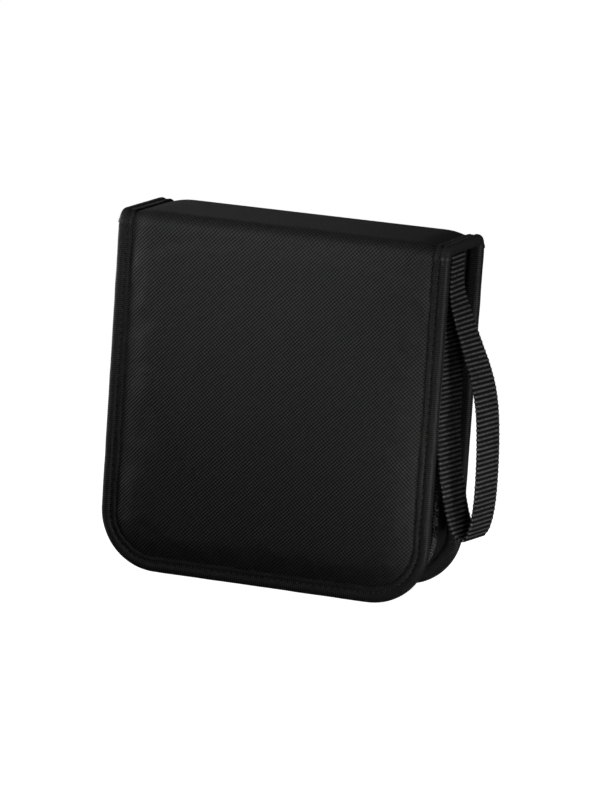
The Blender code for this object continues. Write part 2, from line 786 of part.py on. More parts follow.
def build_cover(name, side, body, materials):
    """One cover with its binding and its half of the zip."""
    add_node(name + "_cover_skin", cover_skin(side), materials["twill"], body)
    add_node(name + "_cover_board", cover_board(side), materials["board"], body)
    add_node(name + "_cover_lining", cover_lining(side), materials["lining"], body)
    add_node(name + "_binding", cover_binding(side), materials["binding"], body)
    add_node(name + "_zip_tape", zip_tape(side), materials["tape"], body)
    add_node(name + "_zip_coil", zip_coil(side), materials["coil"], body)


def build_spine(body, strap, materials):
    """The spine with the ends of the zip, the sleeves and the strap."""
    add_node("spine_skin", spine_skin(), materials["twill"], body)
    add_node("spine_board", spine_board(), materials["board"], body)
    add_node("spine_lining", spine_lining(), materials["lining"], body)
    for label, end in (("left", -1), ("right", 1)):
        add_node("spine_binding_" + label, spine_binding(end), materials["binding"], body)
        add_node("zip_end_" + label, zip_end(end), materials["tape"], body)
    add_node("sleeve_anchor", sleeve_anchor(), materials["lining"], body)
    add_node("sleeve_pages", sleeve_pages(), materials["sleeve"], body)
    add_node("wrist_strap", strap, materials["webbing"], body)


def make_materials():
    """The materials of the case, each with its own colour and surface."""
    return {
        "twill": make_material("nylon_twill", (0.012, 0.012, 0.014), 0.62, sheen=0.3),
        "board": make_material("foam_board", (0.05, 0.05, 0.055), 0.9),
        "lining": make_material("lining_cloth", (0.02, 0.02, 0.022), 0.8),
        "binding": make_material("binding_tape", (0.009, 0.009, 0.01), 0.7, sheen=0.2),
        "tape": make_material("zip_tape_weave", (0.01, 0.01, 0.011), 0.8),
        "coil": make_material("zip_coil_nylon", (0.03, 0.03, 0.032), 0.4),
        "metal": make_material("black_plated_metal", (0.05, 0.05, 0.052), 0.35, metallic=0.9),
        "webbing": make_material("strap_webbing", (0.008, 0.008, 0.009), 0.75, sheen=0.2),
        "sleeve": make_material("sleeve_film", (0.35, 0.36, 0.38), 0.3),
    }


def main():
    """Build the whole case."""
    clear_scene()
    materials = make_materials()
    strap = wrist_strap()
    reach = max(vert.co.x for vert in strap.verts)
    shift = Vector(((WIDTH / 2 - reach) / 2, 0, 0))
    spine = make_body("spine_body", Vector((0, 0, HINGE_Z)), shift)
    build_spine(spine, strap, materials)
    for name, side in (("front", -1), ("back", 1)):
        pivot = Vector((0, side * HINGE_Y, HINGE_Z))
        cover = make_body(name + "_cover_hinge", pivot, shift, spine)
        build_cover(name, side, cover, materials)
    inset, height = pivot_place()
    slider_pivot = Vector((-(WIDTH / 2 - COIL_INSET), 0, height))
    slider = make_body("zip_slider_body", slider_pivot, shift, spine)
    add_node("zip_slider", zip_slider(), materials["metal"], slider)
    pull_pivot = Vector((-(WIDTH / 2 - inset), 0, height))
    pull = make_body("zip_pull_hinge", pull_pivot, shift, slider)
    add_node("zip_pull", zip_pull(), materials["metal"], pull)


main()
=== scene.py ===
"""Looks of a zipped disc wallet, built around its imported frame.

The wallet stands on its fore edge with the spine on top. X runs along the spine towards the wrist
strap, Y from the front cover to the back cover and Z up, all in metres. Places on a cover are given
as a run along its edge, an inset from that edge and a depth from the cover's outer plane.
"""

import logging
import math
from collections.abc import Callable, Iterator
from contextlib import contextmanager
from dataclasses import dataclass, field
from enum import Enum

import bmesh
import bpy
import numpy as np
from mathutils import Matrix, Vector


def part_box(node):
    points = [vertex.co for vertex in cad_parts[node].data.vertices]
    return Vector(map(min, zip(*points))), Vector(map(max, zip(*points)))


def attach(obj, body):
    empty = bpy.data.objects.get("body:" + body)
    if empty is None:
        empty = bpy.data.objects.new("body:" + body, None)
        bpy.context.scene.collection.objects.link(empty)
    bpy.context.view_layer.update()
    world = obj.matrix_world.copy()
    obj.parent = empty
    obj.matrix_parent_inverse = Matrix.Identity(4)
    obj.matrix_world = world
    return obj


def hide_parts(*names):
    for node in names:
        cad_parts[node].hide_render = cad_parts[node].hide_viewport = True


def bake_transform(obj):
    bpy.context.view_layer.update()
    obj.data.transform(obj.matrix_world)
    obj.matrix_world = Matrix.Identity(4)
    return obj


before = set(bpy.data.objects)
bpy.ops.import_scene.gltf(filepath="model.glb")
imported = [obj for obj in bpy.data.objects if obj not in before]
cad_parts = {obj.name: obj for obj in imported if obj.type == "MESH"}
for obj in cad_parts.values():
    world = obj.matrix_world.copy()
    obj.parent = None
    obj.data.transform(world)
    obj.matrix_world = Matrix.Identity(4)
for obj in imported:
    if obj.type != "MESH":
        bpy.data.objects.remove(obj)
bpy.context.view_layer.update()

log = logging.getLogger("wallet")
Piece = bpy.types.Object
Socket = bpy.types.NodeSocket
Reshape = Callable[[np.ndarray], np.ndarray]
MM = 0.001
QUARTER = 0.5 * math.pi
NOISE_KNOTS = 4096
NOISE_START = 1000


class Labelled(Enum):
    """A choice whose name goes into the names of its pieces."""

    @property
    def label(self) -> str:
        """Name of the choice in lower case."""
        return self.name.lower()


class Side(Labelled):
    """The two covers, with the sign of Y."""

    FRONT = -1
    BACK = 1


class End(Labelled):
    """The two ends of the spine, with the sign of X."""

    LEFT = -1
    RIGHT = 1


class Graph:
    """A material's nodes, added and linked by short calls."""

    def __init__(self, name: str) -> None:
        """Start a material that holds only its Principled shader and output.

        Args:
            name: Name of the material.
        """
        self.material = bpy.data.materials.new(name)
        self.material.use_nodes = True
        self.tree = self.material.node_tree
        self.shader = self.tree.nodes["Principled BSDF"]

    def add(self, kind: str, inputs: dict | None = None, **settings: object) -> bpy.types.Node:
        """Add a node.

        Args:
            kind: Blender's type name of the node.
            inputs: Values or sockets for its inputs, by name or number.
            settings: Properties of the node.

        Returns:
            The new node.
        """
        node = self.tree.nodes.new(kind)
        for key, value in settings.items():
            setattr(node, key, value)
        for key, value in (inputs or {}).items():
            if isinstance(value, Socket):
                self.tree.links.new(value, node.inputs[key])
            else:
                node.inputs[key].default_value = value
        return node

    def math(self, operation: str, first: object, second: object = 0.0) -> Socket:
        """Combine two numbers or sockets by one of Blender's operations."""
        return self.add("ShaderNodeMath", {0: first, 1: second}, operation=operation).outputs[0]

    def plus(self, first: object, second: object) -> Socket:
        """Sum of two numbers or sockets."""
        return self.math("ADD", first, second)

    def minus(self, first: object, second: object) -> Socket:
        """Difference of two numbers or sockets."""
        return self.math("SUBTRACT", first, second)

    def times(self, first: object, second: object) -> Socket:
        """Product of two numbers or sockets."""
        return self.math("MULTIPLY", first, second)

    def wave(self, place: Socket, pitch: float) -> Socket:
        """A smooth wave from 0 to 1 along a position, both in metres."""
        turn = self.math("SINE", self.times(place, 2 * math.pi / pitch))
        return self.plus(self.times(turn, 0.5), 0.5)

    def noise(self, place: Socket, size: float, detail: float = 2.0) -> Socket:
        """Soft noise from 0 to 1 in patches of a size in metres."""
        node = self.add("ShaderNodeTexNoise", {"Vector": place, "Scale": 1 / size, "Detail": detail})
        return node.outputs["Fac"]

    def mix(self, share: object, low: tuple, high: tuple, soft: float = 0.0) -> Socket:
        """A colour between two colours.

        Args:
            share: Number or socket from 0 to 1.
            low: Colour at the low end.
            high: Colour at the high end.
            soft: How far both ends reach in towards the middle.

        Returns:
            The socket of the colour.
        """
        ramp = self.add("ShaderNodeValToRGB", {0: share})
        ramp.color_ramp.elements[0].position = soft
        ramp.color_ramp.elements[1].position = 1 - soft
        ramp.color_ramp.elements[0].color = (*low, 1)
        ramp.color_ramp.elements[1].color = (*high, 1)
        return ramp.outputs["Color"]

    def bump(self, height: Socket, rise: float) -> None:
        """Give the shader a bump that is a rise in metres high."""
        node = self.add("ShaderNodeBump", {"Height": height, "Distance": rise, "Strength": 1.0})
        self.tree.links.new(node.outputs["Normal"], self.shader.inputs["Normal"])

    def send(self, socket: Socket, name: str) -> None:
        """Link a socket to an input of the shader."""
        self.tree.links.new(socket, self.shader.inputs[name])


@dataclass(frozen=True)
class Finish:
    """What every finish has: a name, a slot of the record, a colour and how it shines."""

    name: str
    slot: str
    color: tuple[float, float, float]
    roughness: float = 0.6
    sheen: float = 0.0
    specular: float = 0.5

    def start(self) -> tuple[Graph, Socket, Socket]:
        """Start the material with its plain values.

        Returns:
            The graph, the object position, and the pattern position in metres.
        """
        graph = Graph(self.name)
        inputs = graph.shader.inputs
        inputs["Base Color"].default_value = (*self.color, 1)
        inputs["Roughness"].default_value = self.roughness
        inputs["Specular IOR Level"].default_value = self.specular
        inputs["Sheen Weight"].default_value = self.sheen
        inputs["Sheen Roughness"].default_value = 0.4
        place = graph.add("ShaderNodeTexCoord").outputs
        return graph, place["Object"], place["UV"]

    def lighter(self, share: float) -> tuple[float, float, float]:
        """The colour times a share."""
        return tuple(part * share for part in self.color)

    def material(self) -> bpy.types.Material:
        """The finish as a material, made once."""
        return bpy.data.materials.get(self.name) or self.make()

    def make(self) -> bpy.types.Material:
        """Build the nodes. Each kind of finish has its own."""
        raise NotImplementedError

    def dress(self, piece: Piece) -> None:
        """Put the finish on a piece."""
        piece.data.materials.clear()
        piece.data.materials.append(self.material())


@dataclass(frozen=True)
class Twill(Finish):
    """Coated nylon twill: diagonal ribs made of short yarn floats, with painted light on the ribs'
    flanks that face the key light and painted shade on the other flanks.
    """

    rib: float = 1.75 * MM
    rib_share: float = 0.46
    float_length: float = 1.8 * MM
    float_share: float = 0.32
    loose_size: float = 2.2 * MM
    looseness: float = 0.18
    middle_looseness: float = 0.20
    wander_size: float = 14 * MM
    wander: float = 0.5 * MM
    # Shares of the base colour at the painted shade and at the painted light of the ribs.
    shaded_valley: float = 0.01
    lit_crest: float = 3.0
    crispness: float = 0.40
    patch_size: float = 25 * MM
    patches: float = 0.10
    dullness: float = 0.35
    polish: float = 0.12
    relief: float = 0.28 * MM

    def make(self) -> bpy.types.Material:
        """Build the nodes of the material."""
        graph, place, pattern = self.start()
        across = graph.add("ShaderNodeSeparateXYZ", {0: pattern}).outputs
        wander = graph.times(graph.noise(place, self.wander_size), self.wander)
        diagonal = graph.plus(graph.minus(across["Y"], across["X"]), wander)
        floats = graph.wave(graph.plus(across["X"], across["Y"]), self.float_length)
        loose = graph.times(graph.noise(place, self.loose_size, 1), self.looseness)
        yarn = graph.plus(graph.times(floats, self.float_share), loose)
        weave = graph.plus(graph.times(graph.wave(diagonal, self.rib), self.rib_share), yarn)
        # Painted light: the colour's light band sits a quarter rib off the ribs' tops, on the flanks
        # that face the key light. The yarn floats add their own tone.
        painted_lit_flank = graph.wave(graph.minus(diagonal, self.rib / 4), self.rib)
        tone = graph.plus(graph.times(painted_lit_flank, self.rib_share), yarn)
        tone = graph.minus(tone, (self.looseness - self.middle_looseness) / 2)
        color = graph.mix(tone, self.lighter(self.shaded_valley), self.lighter(self.lit_crest), self.crispness)
        graph.send(color, "Base Color")
        patches = graph.times(graph.noise(place, self.patch_size, 4), self.patches)
        dull = graph.times(graph.minus(1.0, weave), self.dullness)
        rough = graph.plus(graph.plus(patches, dull), self.roughness - self.polish)
        graph.send(rough, "Roughness")
        graph.bump(weave, self.relief)
        return graph.material


@dataclass(frozen=True)
class Yarn(Finish):
    """Woven tape or webbing: fine yarns both ways over the modelled ribs."""

    pitch_along: float = 0.3 * MM
    pitch_across: float = 0.3 * MM
    relief: float = 0.05 * MM
    fibre: float = 0.25 * MM
    patch_size: float = 6 * MM
    patches: float = 0.16

    def make(self) -> bpy.types.Material:
        """Build the nodes of the material."""
        graph, place, pattern = self.start()
        across = graph.add("ShaderNodeSeparateXYZ", {0: pattern}).outputs
        wander = graph.times(graph.noise(place, 2 * MM), 0.2 * MM)
        along = graph.wave(graph.plus(across["X"], wander), self.pitch_along)
        cross = graph.wave(graph.plus(across["Y"], wander), self.pitch_across)
        fibre = graph.noise(place, self.fibre, 3)
        weave = graph.times(along, cross)
        height = graph.plus(graph.times(weave, 0.6), graph.times(fibre, 0.4))
        graph.send(graph.mix(height, self.lighter(0.4), self.lighter(1.6)), "Base Color")
        rough = graph.times(graph.noise(place, self.patch_size), self.patches)
        graph.send(graph.plus(rough, self.roughness - self.patches / 2), "Roughness")
        graph.bump(height, self.relief)
        return graph.material


@dataclass(frozen=True)
class Ribbed(Yarn):
    """Tape with modelled cross ribs: painted highlights on the tops, painted shade in the valleys,
    uneven patches over the tops and fine yarns over both.
    """

    rib: float = 1.0 * MM
    # Shares of the base colour for the painted shade in the valleys and the painted highlight on the
    # tops.
    shaded_valley: float = 0.2
    lit_crest: float = 1.8
    sharpness: float = 1.0
    top_patchiness: float = 1.0
    dullness: float = 0.3

    def make(self) -> bpy.types.Material:
        """Build the nodes of the material."""
        graph, place, pattern = self.start()
        across = graph.add("ShaderNodeSeparateXYZ", {0: pattern}).outputs
        # Painted light: the colour is light on the rib tops and dark in the valleys between them.
        turned = graph.minus(across["X"], self.rib / 4)
        top = graph.math("POWER", graph.wave(turned, self.rib), self.sharpness)
        along = graph.wave(across["X"], self.pitch_along)
        cross = graph.wave(across["Y"], self.pitch_across)
        fibre = graph.noise(place, self.fibre, 3)
        weave = graph.times(graph.plus(along, 1.0), graph.plus(cross, 0.4))
        height = graph.plus(graph.times(weave, 0.22), graph.times(fibre, 0.4))
        shade = graph.times(top, graph.plus(graph.times(height, 0.8), 0.45))
        # Uneven patches over the painted highlights of the tops.
        patch = graph.times(graph.noise(place, 0.7 * self.rib, 1), 2 * self.top_patchiness)
        shade = graph.times(shade, graph.plus(patch, 1 - self.top_patchiness))
        graph.send(graph.mix(shade, self.lighter(self.shaded_valley), self.lighter(self.lit_crest)), "Base Color")
        rough = graph.times(graph.noise(place, self.patch_size), self.patches)
        dull = graph.times(graph.minus(1.0, top), self.dullness)
        graph.send(graph.plus(graph.plus(rough, dull), self.roughness - self.patches), "Roughness")
        graph.bump(height, self.relief)
        return graph.material


@dataclass(frozen=True)
class Smooth(Finish):
    """Moulded nylon, film or thread: a faint grain and uneven gloss."""

    grain: float = 0.5 * MM
    relief: float = 0.01 * MM
    see_through: float = 0.0
    unevenness: float = 0.12

    def make(self) -> bpy.types.Material:
        """Build the nodes of the material."""
        graph, place, _ = self.start()
        grain = graph.noise(place, self.grain, 3)
        broad = graph.noise(place, 20 * self.grain, 2)
        graph.send(graph.mix(broad, self.lighter(0.8), self.lighter(1.2)), "Base Color")
        rough = graph.times(grain, self.unevenness)
        graph.send(graph.plus(rough, self.roughness - self.unevenness / 2), "Roughness")
        graph.shader.inputs["Transmission Weight"].default_value = self.see_through
        graph.bump(grain, self.relief)
        return graph.material


@dataclass(frozen=True)
class Plated(Finish):
    """Black plated zinc: fine cast grain, gloss that varies, and rubbed patches."""

    metallic: float = 0.9
    grain: float = 0.25 * MM
    relief: float = 0.02 * MM
    rub_size: float = 1.6 * MM
    rub_limit: float = 0.62
    smear_size: float = 1.2 * MM
    smears: float = 0.25
    polish: float = 0.12

    def make(self) -> bpy.types.Material:
        """Build the nodes of the material."""
        graph, place, _ = self.start()
        graph.shader.inputs["Metallic"].default_value = self.metallic
        grain = graph.noise(place, self.grain, 4)
        rubbed = graph.math("GREATER_THAN", graph.noise(place, self.rub_size, 5), self.rub_limit)
        graph.send(graph.mix(rubbed, self.color, self.lighter(2.0)), "Base Color")
        rough = graph.times(graph.noise(place, self.smear_size, 3), self.smears)
        graph.send(graph.plus(rough, self.roughness - self.polish), "Roughness")
        graph.bump(grain, self.relief)
        return graph.material


TWILL = Twill("nylon_twill", "twill", (0.0105, 0.0108, 0.0105), 0.42, specular=0.33)
# Binding: painted highlights on the rib tops and painted shade in the valleys.
BINDING = Ribbed(
    "binding_tape", "binding", (0.008, 0.0082, 0.008), 0.5, specular=0.3, relief=0.04 * MM,
    rib=0.92 * MM, shaded_valley=0.05, lit_crest=3.4)
# Tape over the spine's ends: a copy of the binding with lower ribs. Its colour, over twice the
# binding's, is painted light on the arches.
SATIN_PAINTED_LIGHT = Ribbed(
    "binding_satin_painted_light", "binding", (0.018, 0.0182, 0.018), 0.44, specular=0.35, relief=0.02 * MM,
    rib=0.92 * MM, shaded_valley=0.6, lit_crest=1.5)
THREAD = Smooth(
    "sewing_thread", "binding", (0.02, 0.0202, 0.02), 0.45, sheen=0.2, grain=0.2 * MM, relief=0.03 * MM)
ZIP_TAPE = Yarn(
    "zip_tape_weave", "zip_tape", (0.008, 0.008, 0.0081), 0.72, specular=0.25, pitch_along=0.55 * MM,
    pitch_across=0.4 * MM)
COIL = Smooth("zip_coil_nylon", "coil", (0.09, 0.09, 0.092), 0.26, specular=0.8, grain=0.8 * MM)
METAL = Plated("black_plated_metal", "slider_metal", (0.05, 0.05, 0.052), 0.36)
# Webbing: painted highlights twelve times the base colour on the rib tops and painted shade near black
# in the valleys.
WEBBING = Ribbed(
    "strap_webbing", "webbing", (0.010, 0.0101, 0.010), 0.55, specular=0.2, pitch_along=0.5 * MM,
    pitch_across=0.8 * MM, relief=0.08 * MM, rib=2.1 * MM, shaded_valley=0.03, lit_crest=12.0, sharpness=2.6,
    top_patchiness=1.3)
LINING = Yarn(
    "lining_cloth", "lining", (0.016, 0.016, 0.0165), 0.68, sheen=0.2, specular=0.4,
    pitch_along=0.5 * MM, pitch_across=0.5 * MM, relief=0.03 * MM)
FOAM = Smooth("foam_board", "foam_board", (0.03, 0.03, 0.031), 0.9, grain=0.4 * MM, relief=0.1 * MM)
FILM = Smooth(
    "sleeve_film", "sleeve", (0.8, 0.82, 0.85), 0.14, grain=6 * MM, relief=0.05 * MM, see_through=0.85)
BACKING = Yarn(
    "sleeve_backing", "sleeve", (0.03, 0.03, 0.032), 0.85, sheen=0.2, specular=0.3,
    pitch_along=0.8 * MM, pitch_across=0.8 * MM, relief=0.04 * MM)


class Bench:
    """Blender's modelling tools, used on one piece at a time as by hand."""

    SOFT = 60.0
    ROUND = 70.0
    WELD = 1e-6
    CORNER_CUTS = 9

    @staticmethod
    def deselect() -> None:
        """Leave edit mode and select nothing."""
        if bpy.context.object and bpy.context.object.mode != "OBJECT":
            bpy.ops.object.mode_set(mode="OBJECT")
        bpy.ops.object.select_all(action="DESELECT")

    @staticmethod
    def take(piece: Piece) -> Piece:
        """Make a piece the only selected and active one, and return it."""
        Bench.deselect()
        piece.select_set(True)
        bpy.context.view_layer.objects.active = piece
        return piece

    @staticmethod
    def named(name: str) -> Piece:
        """Name the piece that an operator has just added, and return it."""
        piece = bpy.context.object
        piece.name = name
        piece.data.name = name
        return piece

    @staticmethod
    @contextmanager
    def editing(piece: Piece, everything: bool = True) -> Iterator[bmesh.types.BMesh]:
        """Edit mode on a piece.

        Args:
            piece: The piece.
            everything: Whether all of it starts selected.

        Yields:
            The mesh in edit mode, for selecting by place.
        """
        Bench.take(piece)
        bpy.ops.object.mode_set(mode="EDIT")
        bpy.ops.mesh.select_mode(type="VERT")
        bpy.ops.mesh.select_all(action="SELECT" if everything else "DESELECT")
        yield bmesh.from_edit_mesh(piece.data)
        bpy.ops.object.mode_set(mode="OBJECT")

    @staticmethod
    def select_faces(mesh: bmesh.types.BMesh, test: Callable[[bmesh.types.BMFace], bool]) -> None:
        """Select the faces that pass a test and nothing else.

        Args:
            mesh: The mesh in edit mode.
            test: Says whether a face is wanted.
        """
        bpy.ops.mesh.select_mode(type="FACE")
        bpy.ops.mesh.select_all(action="DESELECT")
        for face in mesh.faces:
            face.select_set(test(face))

    @staticmethod
    def points(piece: Piece) -> np.ndarray:
        """The corners of a piece, one row each."""
        count = len(piece.data.vertices)
        flat = np.empty(count * 3)
        piece.data.vertices.foreach_get("co", flat)
        return flat.reshape(count, 3)

    @staticmethod
    def reshape(piece: Piece, change: Reshape) -> Piece:
        """Move every corner of a piece by a rule.

        Args:
            piece: The piece.
            change: Takes the corners and returns them moved.

        Returns:
            The same piece.
        """
        moved = np.asarray(change(Bench.points(piece)), dtype=float)
        piece.data.vertices.foreach_set("co", moved.ravel())
        piece.data.update()
        return piece

    @staticmethod
    def keep_pattern(piece: Piece, stretch: float = 1.0) -> None:
        """Store a flat piece's own x and y + z as its pattern position, before it is bent.

        Args:
            piece: The piece, still straight.
            stretch: Pattern length per length of the piece.
        """
        points = Bench.points(piece)
        layers = piece.data.uv_layers
        layer = layers[0] if layers else layers.new(name="pattern")
        corners = np.empty(len(piece.data.loops), dtype=np.int64)
        piece.data.loops.foreach_get("vertex_index", corners)
        flat = np.stack([points[corners, 0] * stretch, points[corners, 1] + points[corners, 2]], axis=1)
        layer.data.foreach_set("uv", flat.ravel())

    @staticmethod
    def modify(piece: Piece, kind: str, **settings: object) -> Piece:
        """Add a modifier and apply it at once.

        Args:
            piece: The piece.
            kind: Blender's type name of the modifier.
            settings: The modifier's values.

        Returns:
            The same piece.
        """
        Bench.take(piece)
        modifier = piece.modifiers.new(kind.lower(), kind)
        for key, value in settings.items():
            setattr(modifier, key, value)
        bpy.ops.object.modifier_apply(modifier=modifier.name)
        return piece

    @staticmethod
    def repeat(piece: Piece, count: int, pitch: float, merge: bool = True, axis: int = 0) -> Piece:
        """Repeat a piece along an axis.

        Args:
            piece: One length of it.
            count: How many lengths.
            pitch: Length of one.
            merge: Whether neighbours are joined.
            axis: Number of the axis, 0 for X.

        Returns:
            The same piece, now the whole row.
        """
        step = [pitch if number == axis else 0.0 for number in range(3)]
        return Bench.modify(
            piece, "ARRAY", count=count, use_relative_offset=False, use_constant_offset=True,
            constant_offset_displace=step, use_merge_vertices=merge, merge_threshold=pitch / 500)

    @staticmethod
    def sheet(
            name: str, half: float, low: float, top: float, cell: float, radius: float = 0.0) -> Piece:
        """A flat grid, with its pattern position stored. Its lower corners can be cut round.

        Args:
            name: Name of the sheet.
            half: Half of its width.
            low: Y of its lower edge.
            top: Y of its upper edge.
            cell: Size of its cells.
            radius: Radius of the lower corners.

        Returns:
            The sheet, with x across and y up.
        """
        Bench.deselect()
        bpy.ops.mesh.primitive_grid_add(
            x_subdivisions=round(2 * half / cell), y_subdivisions=round((top - low) / cell), size=1)
        piece = Bench.named(name)
        with Bench.editing(piece):
            bpy.ops.transform.resize(value=(2 * half, top - low, 1))
            bpy.ops.transform.translate(value=(0, (low + top) / 2, 0))
            for hand in (-1, 1):
                for cut in range(Bench.CORNER_CUTS if radius else 0):
                    angle = math.radians(90 * (cut + 0.5) / Bench.CORNER_CUTS)
                    away = Vector((hand * math.cos(angle), -math.sin(angle), 0))
                    place = Vector((hand * (half - radius), low + radius, 0)) + radius * away
                    bpy.ops.mesh.select_all(action="SELECT")
                    bpy.ops.mesh.bisect(plane_co=place, plane_no=away, clear_outer=True)
            bpy.ops.mesh.select_all(action="SELECT")
            bpy.ops.mesh.remove_doubles(threshold=0.05 * MM)
        Bench.keep_pattern(piece)
        return piece

    @staticmethod
    def thicken(piece: Piece, thickness: float) -> Piece:
        """Give a bent sheet its thickness, half on each side, and smooth it.

        Args:
            piece: The sheet.
            thickness: Its thickness.

        Returns:
            The same piece.
        """
        Bench.modify(piece, "SOLIDIFY", thickness=thickness, offset=0)
        return Bench.shade(Bench.close(piece, caps=False), Bench.SOFT)

    @staticmethod
    def laid(piece: Piece, change: Reshape, thickness: float, finish: Finish) -> Piece:
        """Bend a sheet into place, thicken it and dress it.

        Args:
            piece: The flat sheet.
            change: Takes its corners and returns them moved.
            thickness: Thickness of the cloth.
            finish: Its finish.

        Returns:
            The same piece.
        """
        finish.dress(Bench.thicken(Bench.reshape(piece, change), thickness))
        return piece

    @staticmethod
    def finished(piece: Piece, finish: Finish, angle: float, caps: bool = False) -> Piece:
        """Close, shade and dress a solid piece.

        Args:
            piece: The piece, bent into place.
            finish: Its finish.
            angle: Edges over this angle in degrees stay sharp.
            caps: Whether open ends get a face.

        Returns:
            The same piece.
        """
        finish.dress(Bench.shade(Bench.close(piece, caps), angle))
        return piece

    @staticmethod
    def stitch(name: str, length: float, radius: float, sink: float) -> Piece:
        """One straight stitch along X whose ends sink into the cloth.

        Args:
            name: Name of the piece.
            length: Its length.
            radius: Radius of the thread.
            sink: How deep its ends go.

        Returns:
            The stitch.
        """
        Bench.deselect()
        bpy.ops.mesh.primitive_cylinder_add(vertices=6, radius=radius, depth=1, end_fill_type="TRIFAN")
        piece = Bench.named(name)
        with Bench.editing(piece):
            bpy.ops.transform.rotate(value=math.pi / 2, orient_axis="Y", center_override=(0, 0, 0))
            bpy.ops.mesh.bisect(plane_co=(0, 0, 0), plane_no=(1, 0, 0))
            bpy.ops.mesh.select_all(action="SELECT")
            bpy.ops.transform.resize(value=(length, 1, 1))

        def sunk(points: np.ndarray) -> np.ndarray:
            """Sink both ends of the stitch."""
            points[:, 2] += sink * (np.abs(points[:, 0]) / (length / 2)) ** 2
            return points

        return Bench.reshape(piece, sunk)

    @staticmethod
    def seam(name: str, length: float, pitch: float, bent: Reshape) -> Piece:
        """A row of stitches along X, bent into place.

        Args:
            name: Name of the piece.
            length: Length of the row.
            pitch: Distance between stitches.
            bent: Puts straight places onto the cloth.

        Returns:
            The row, with its finish.
        """
        row = Bench.stitch(name, 0.66 * pitch, radius=0.16 * MM, sink=0.25 * MM)
        Bench.repeat(row, round(length / pitch), pitch, merge=False)
        Bench.keep_pattern(row)
        return Bench.finished(Bench.reshape(row, bent), THREAD, Bench.SOFT)

    @staticmethod
    def ring_tube(name: str, outline: list[tuple[float, float]], steps: list[float]) -> Piece:
        """A tube along X: a ring of points placed on an outline, then extruded step by step.

        Args:
            name: Name of the piece.
            outline: Closed outline as (y, z) points.
            steps: Length of each extrusion.

        Returns:
            The tube, open at both ends.
        """
        Bench.deselect()
        bpy.ops.mesh.primitive_circle_add(vertices=len(outline), radius=1, fill_type="NOTHING")
        piece = Bench.named(name)
        for vertex, (y, z) in zip(piece.data.vertices, outline):
            vertex.co = (0, y, z)
        with Bench.editing(piece):
            for step in steps:
                bpy.ops.mesh.extrude_region_move(TRANSFORM_OT_translate={"value": (step, 0, 0)})
        return piece

    @staticmethod
    def close(piece: Piece, caps: bool = True) -> Piece:
        """Merge doubled corners, close open ends and turn the faces outwards.

        Args:
            piece: The piece.
            caps: Whether open ends get a face.

        Returns:
            The same piece.
        """
        with Bench.editing(piece):
            bpy.ops.mesh.remove_doubles(threshold=Bench.WELD)
            if caps:
                bpy.ops.mesh.select_all(action="DESELECT")
                bpy.ops.mesh.select_mode(type="EDGE")
                bpy.ops.mesh.select_non_manifold()
                bpy.ops.mesh.edge_face_add()
            bpy.ops.mesh.select_all(action="SELECT")
            bpy.ops.mesh.normals_make_consistent(inside=False)
        return piece

    @staticmethod
    def join(pieces: list[Piece], name: str) -> Piece:
        """Join pieces into one object.

        Args:
            pieces: The pieces.
            name: Name of the result.

        Returns:
            The joined piece.
        """
        Bench.take(pieces[0])
        for piece in pieces:
            piece.select_set(True)
        bpy.ops.object.join()
        return Bench.named(name)

    @staticmethod
    def duplicate(piece: Piece, name: str) -> Piece:
        """A copy with a mesh of its own.

        Args:
            piece: The piece.
            name: Name of the copy.

        Returns:
            The copy.
        """
        copy = piece.copy()
        copy.data = piece.data.copy()
        copy.name = name
        bpy.context.scene.collection.objects.link(copy)
        return copy

    @staticmethod
    def shade(piece: Piece, angle: float = 40.0) -> Piece:
        """Shade a piece smooth, with edges over an angle in degrees kept sharp."""
        Bench.take(piece)
        bpy.ops.object.shade_smooth_by_angle(angle=math.radians(angle))
        return piece


def ramp(value: np.ndarray, start: float, length: float) -> np.ndarray:
    """A rise from 0 to 1 that begins at a start and takes a length."""
    return np.clip((value - start) / length, 0, 1)


def eased(share: np.ndarray) -> np.ndarray:
    """A share from 0 to 1 with a soft start and end."""
    return share * share * (3 - 2 * share)


def soft_noise(run: np.ndarray, size: float, seed: int) -> np.ndarray:
    """Smooth noise from -1 to 1 along a line, the same each time.

    Args:
        run: Positions along the line.
        size: Length over which it changes.
        seed: Which noise.

    Returns:
        The noise at each position.
    """
    knots = np.random.default_rng(seed).uniform(-1, 1, NOISE_KNOTS)
    place = np.asarray(run) / size + NOISE_START
    low = np.floor(place).astype(int)
    share = eased(place - low)
    return knots[low % NOISE_KNOTS] * (1 - share) + knots[(low + 1) % NOISE_KNOTS] * share


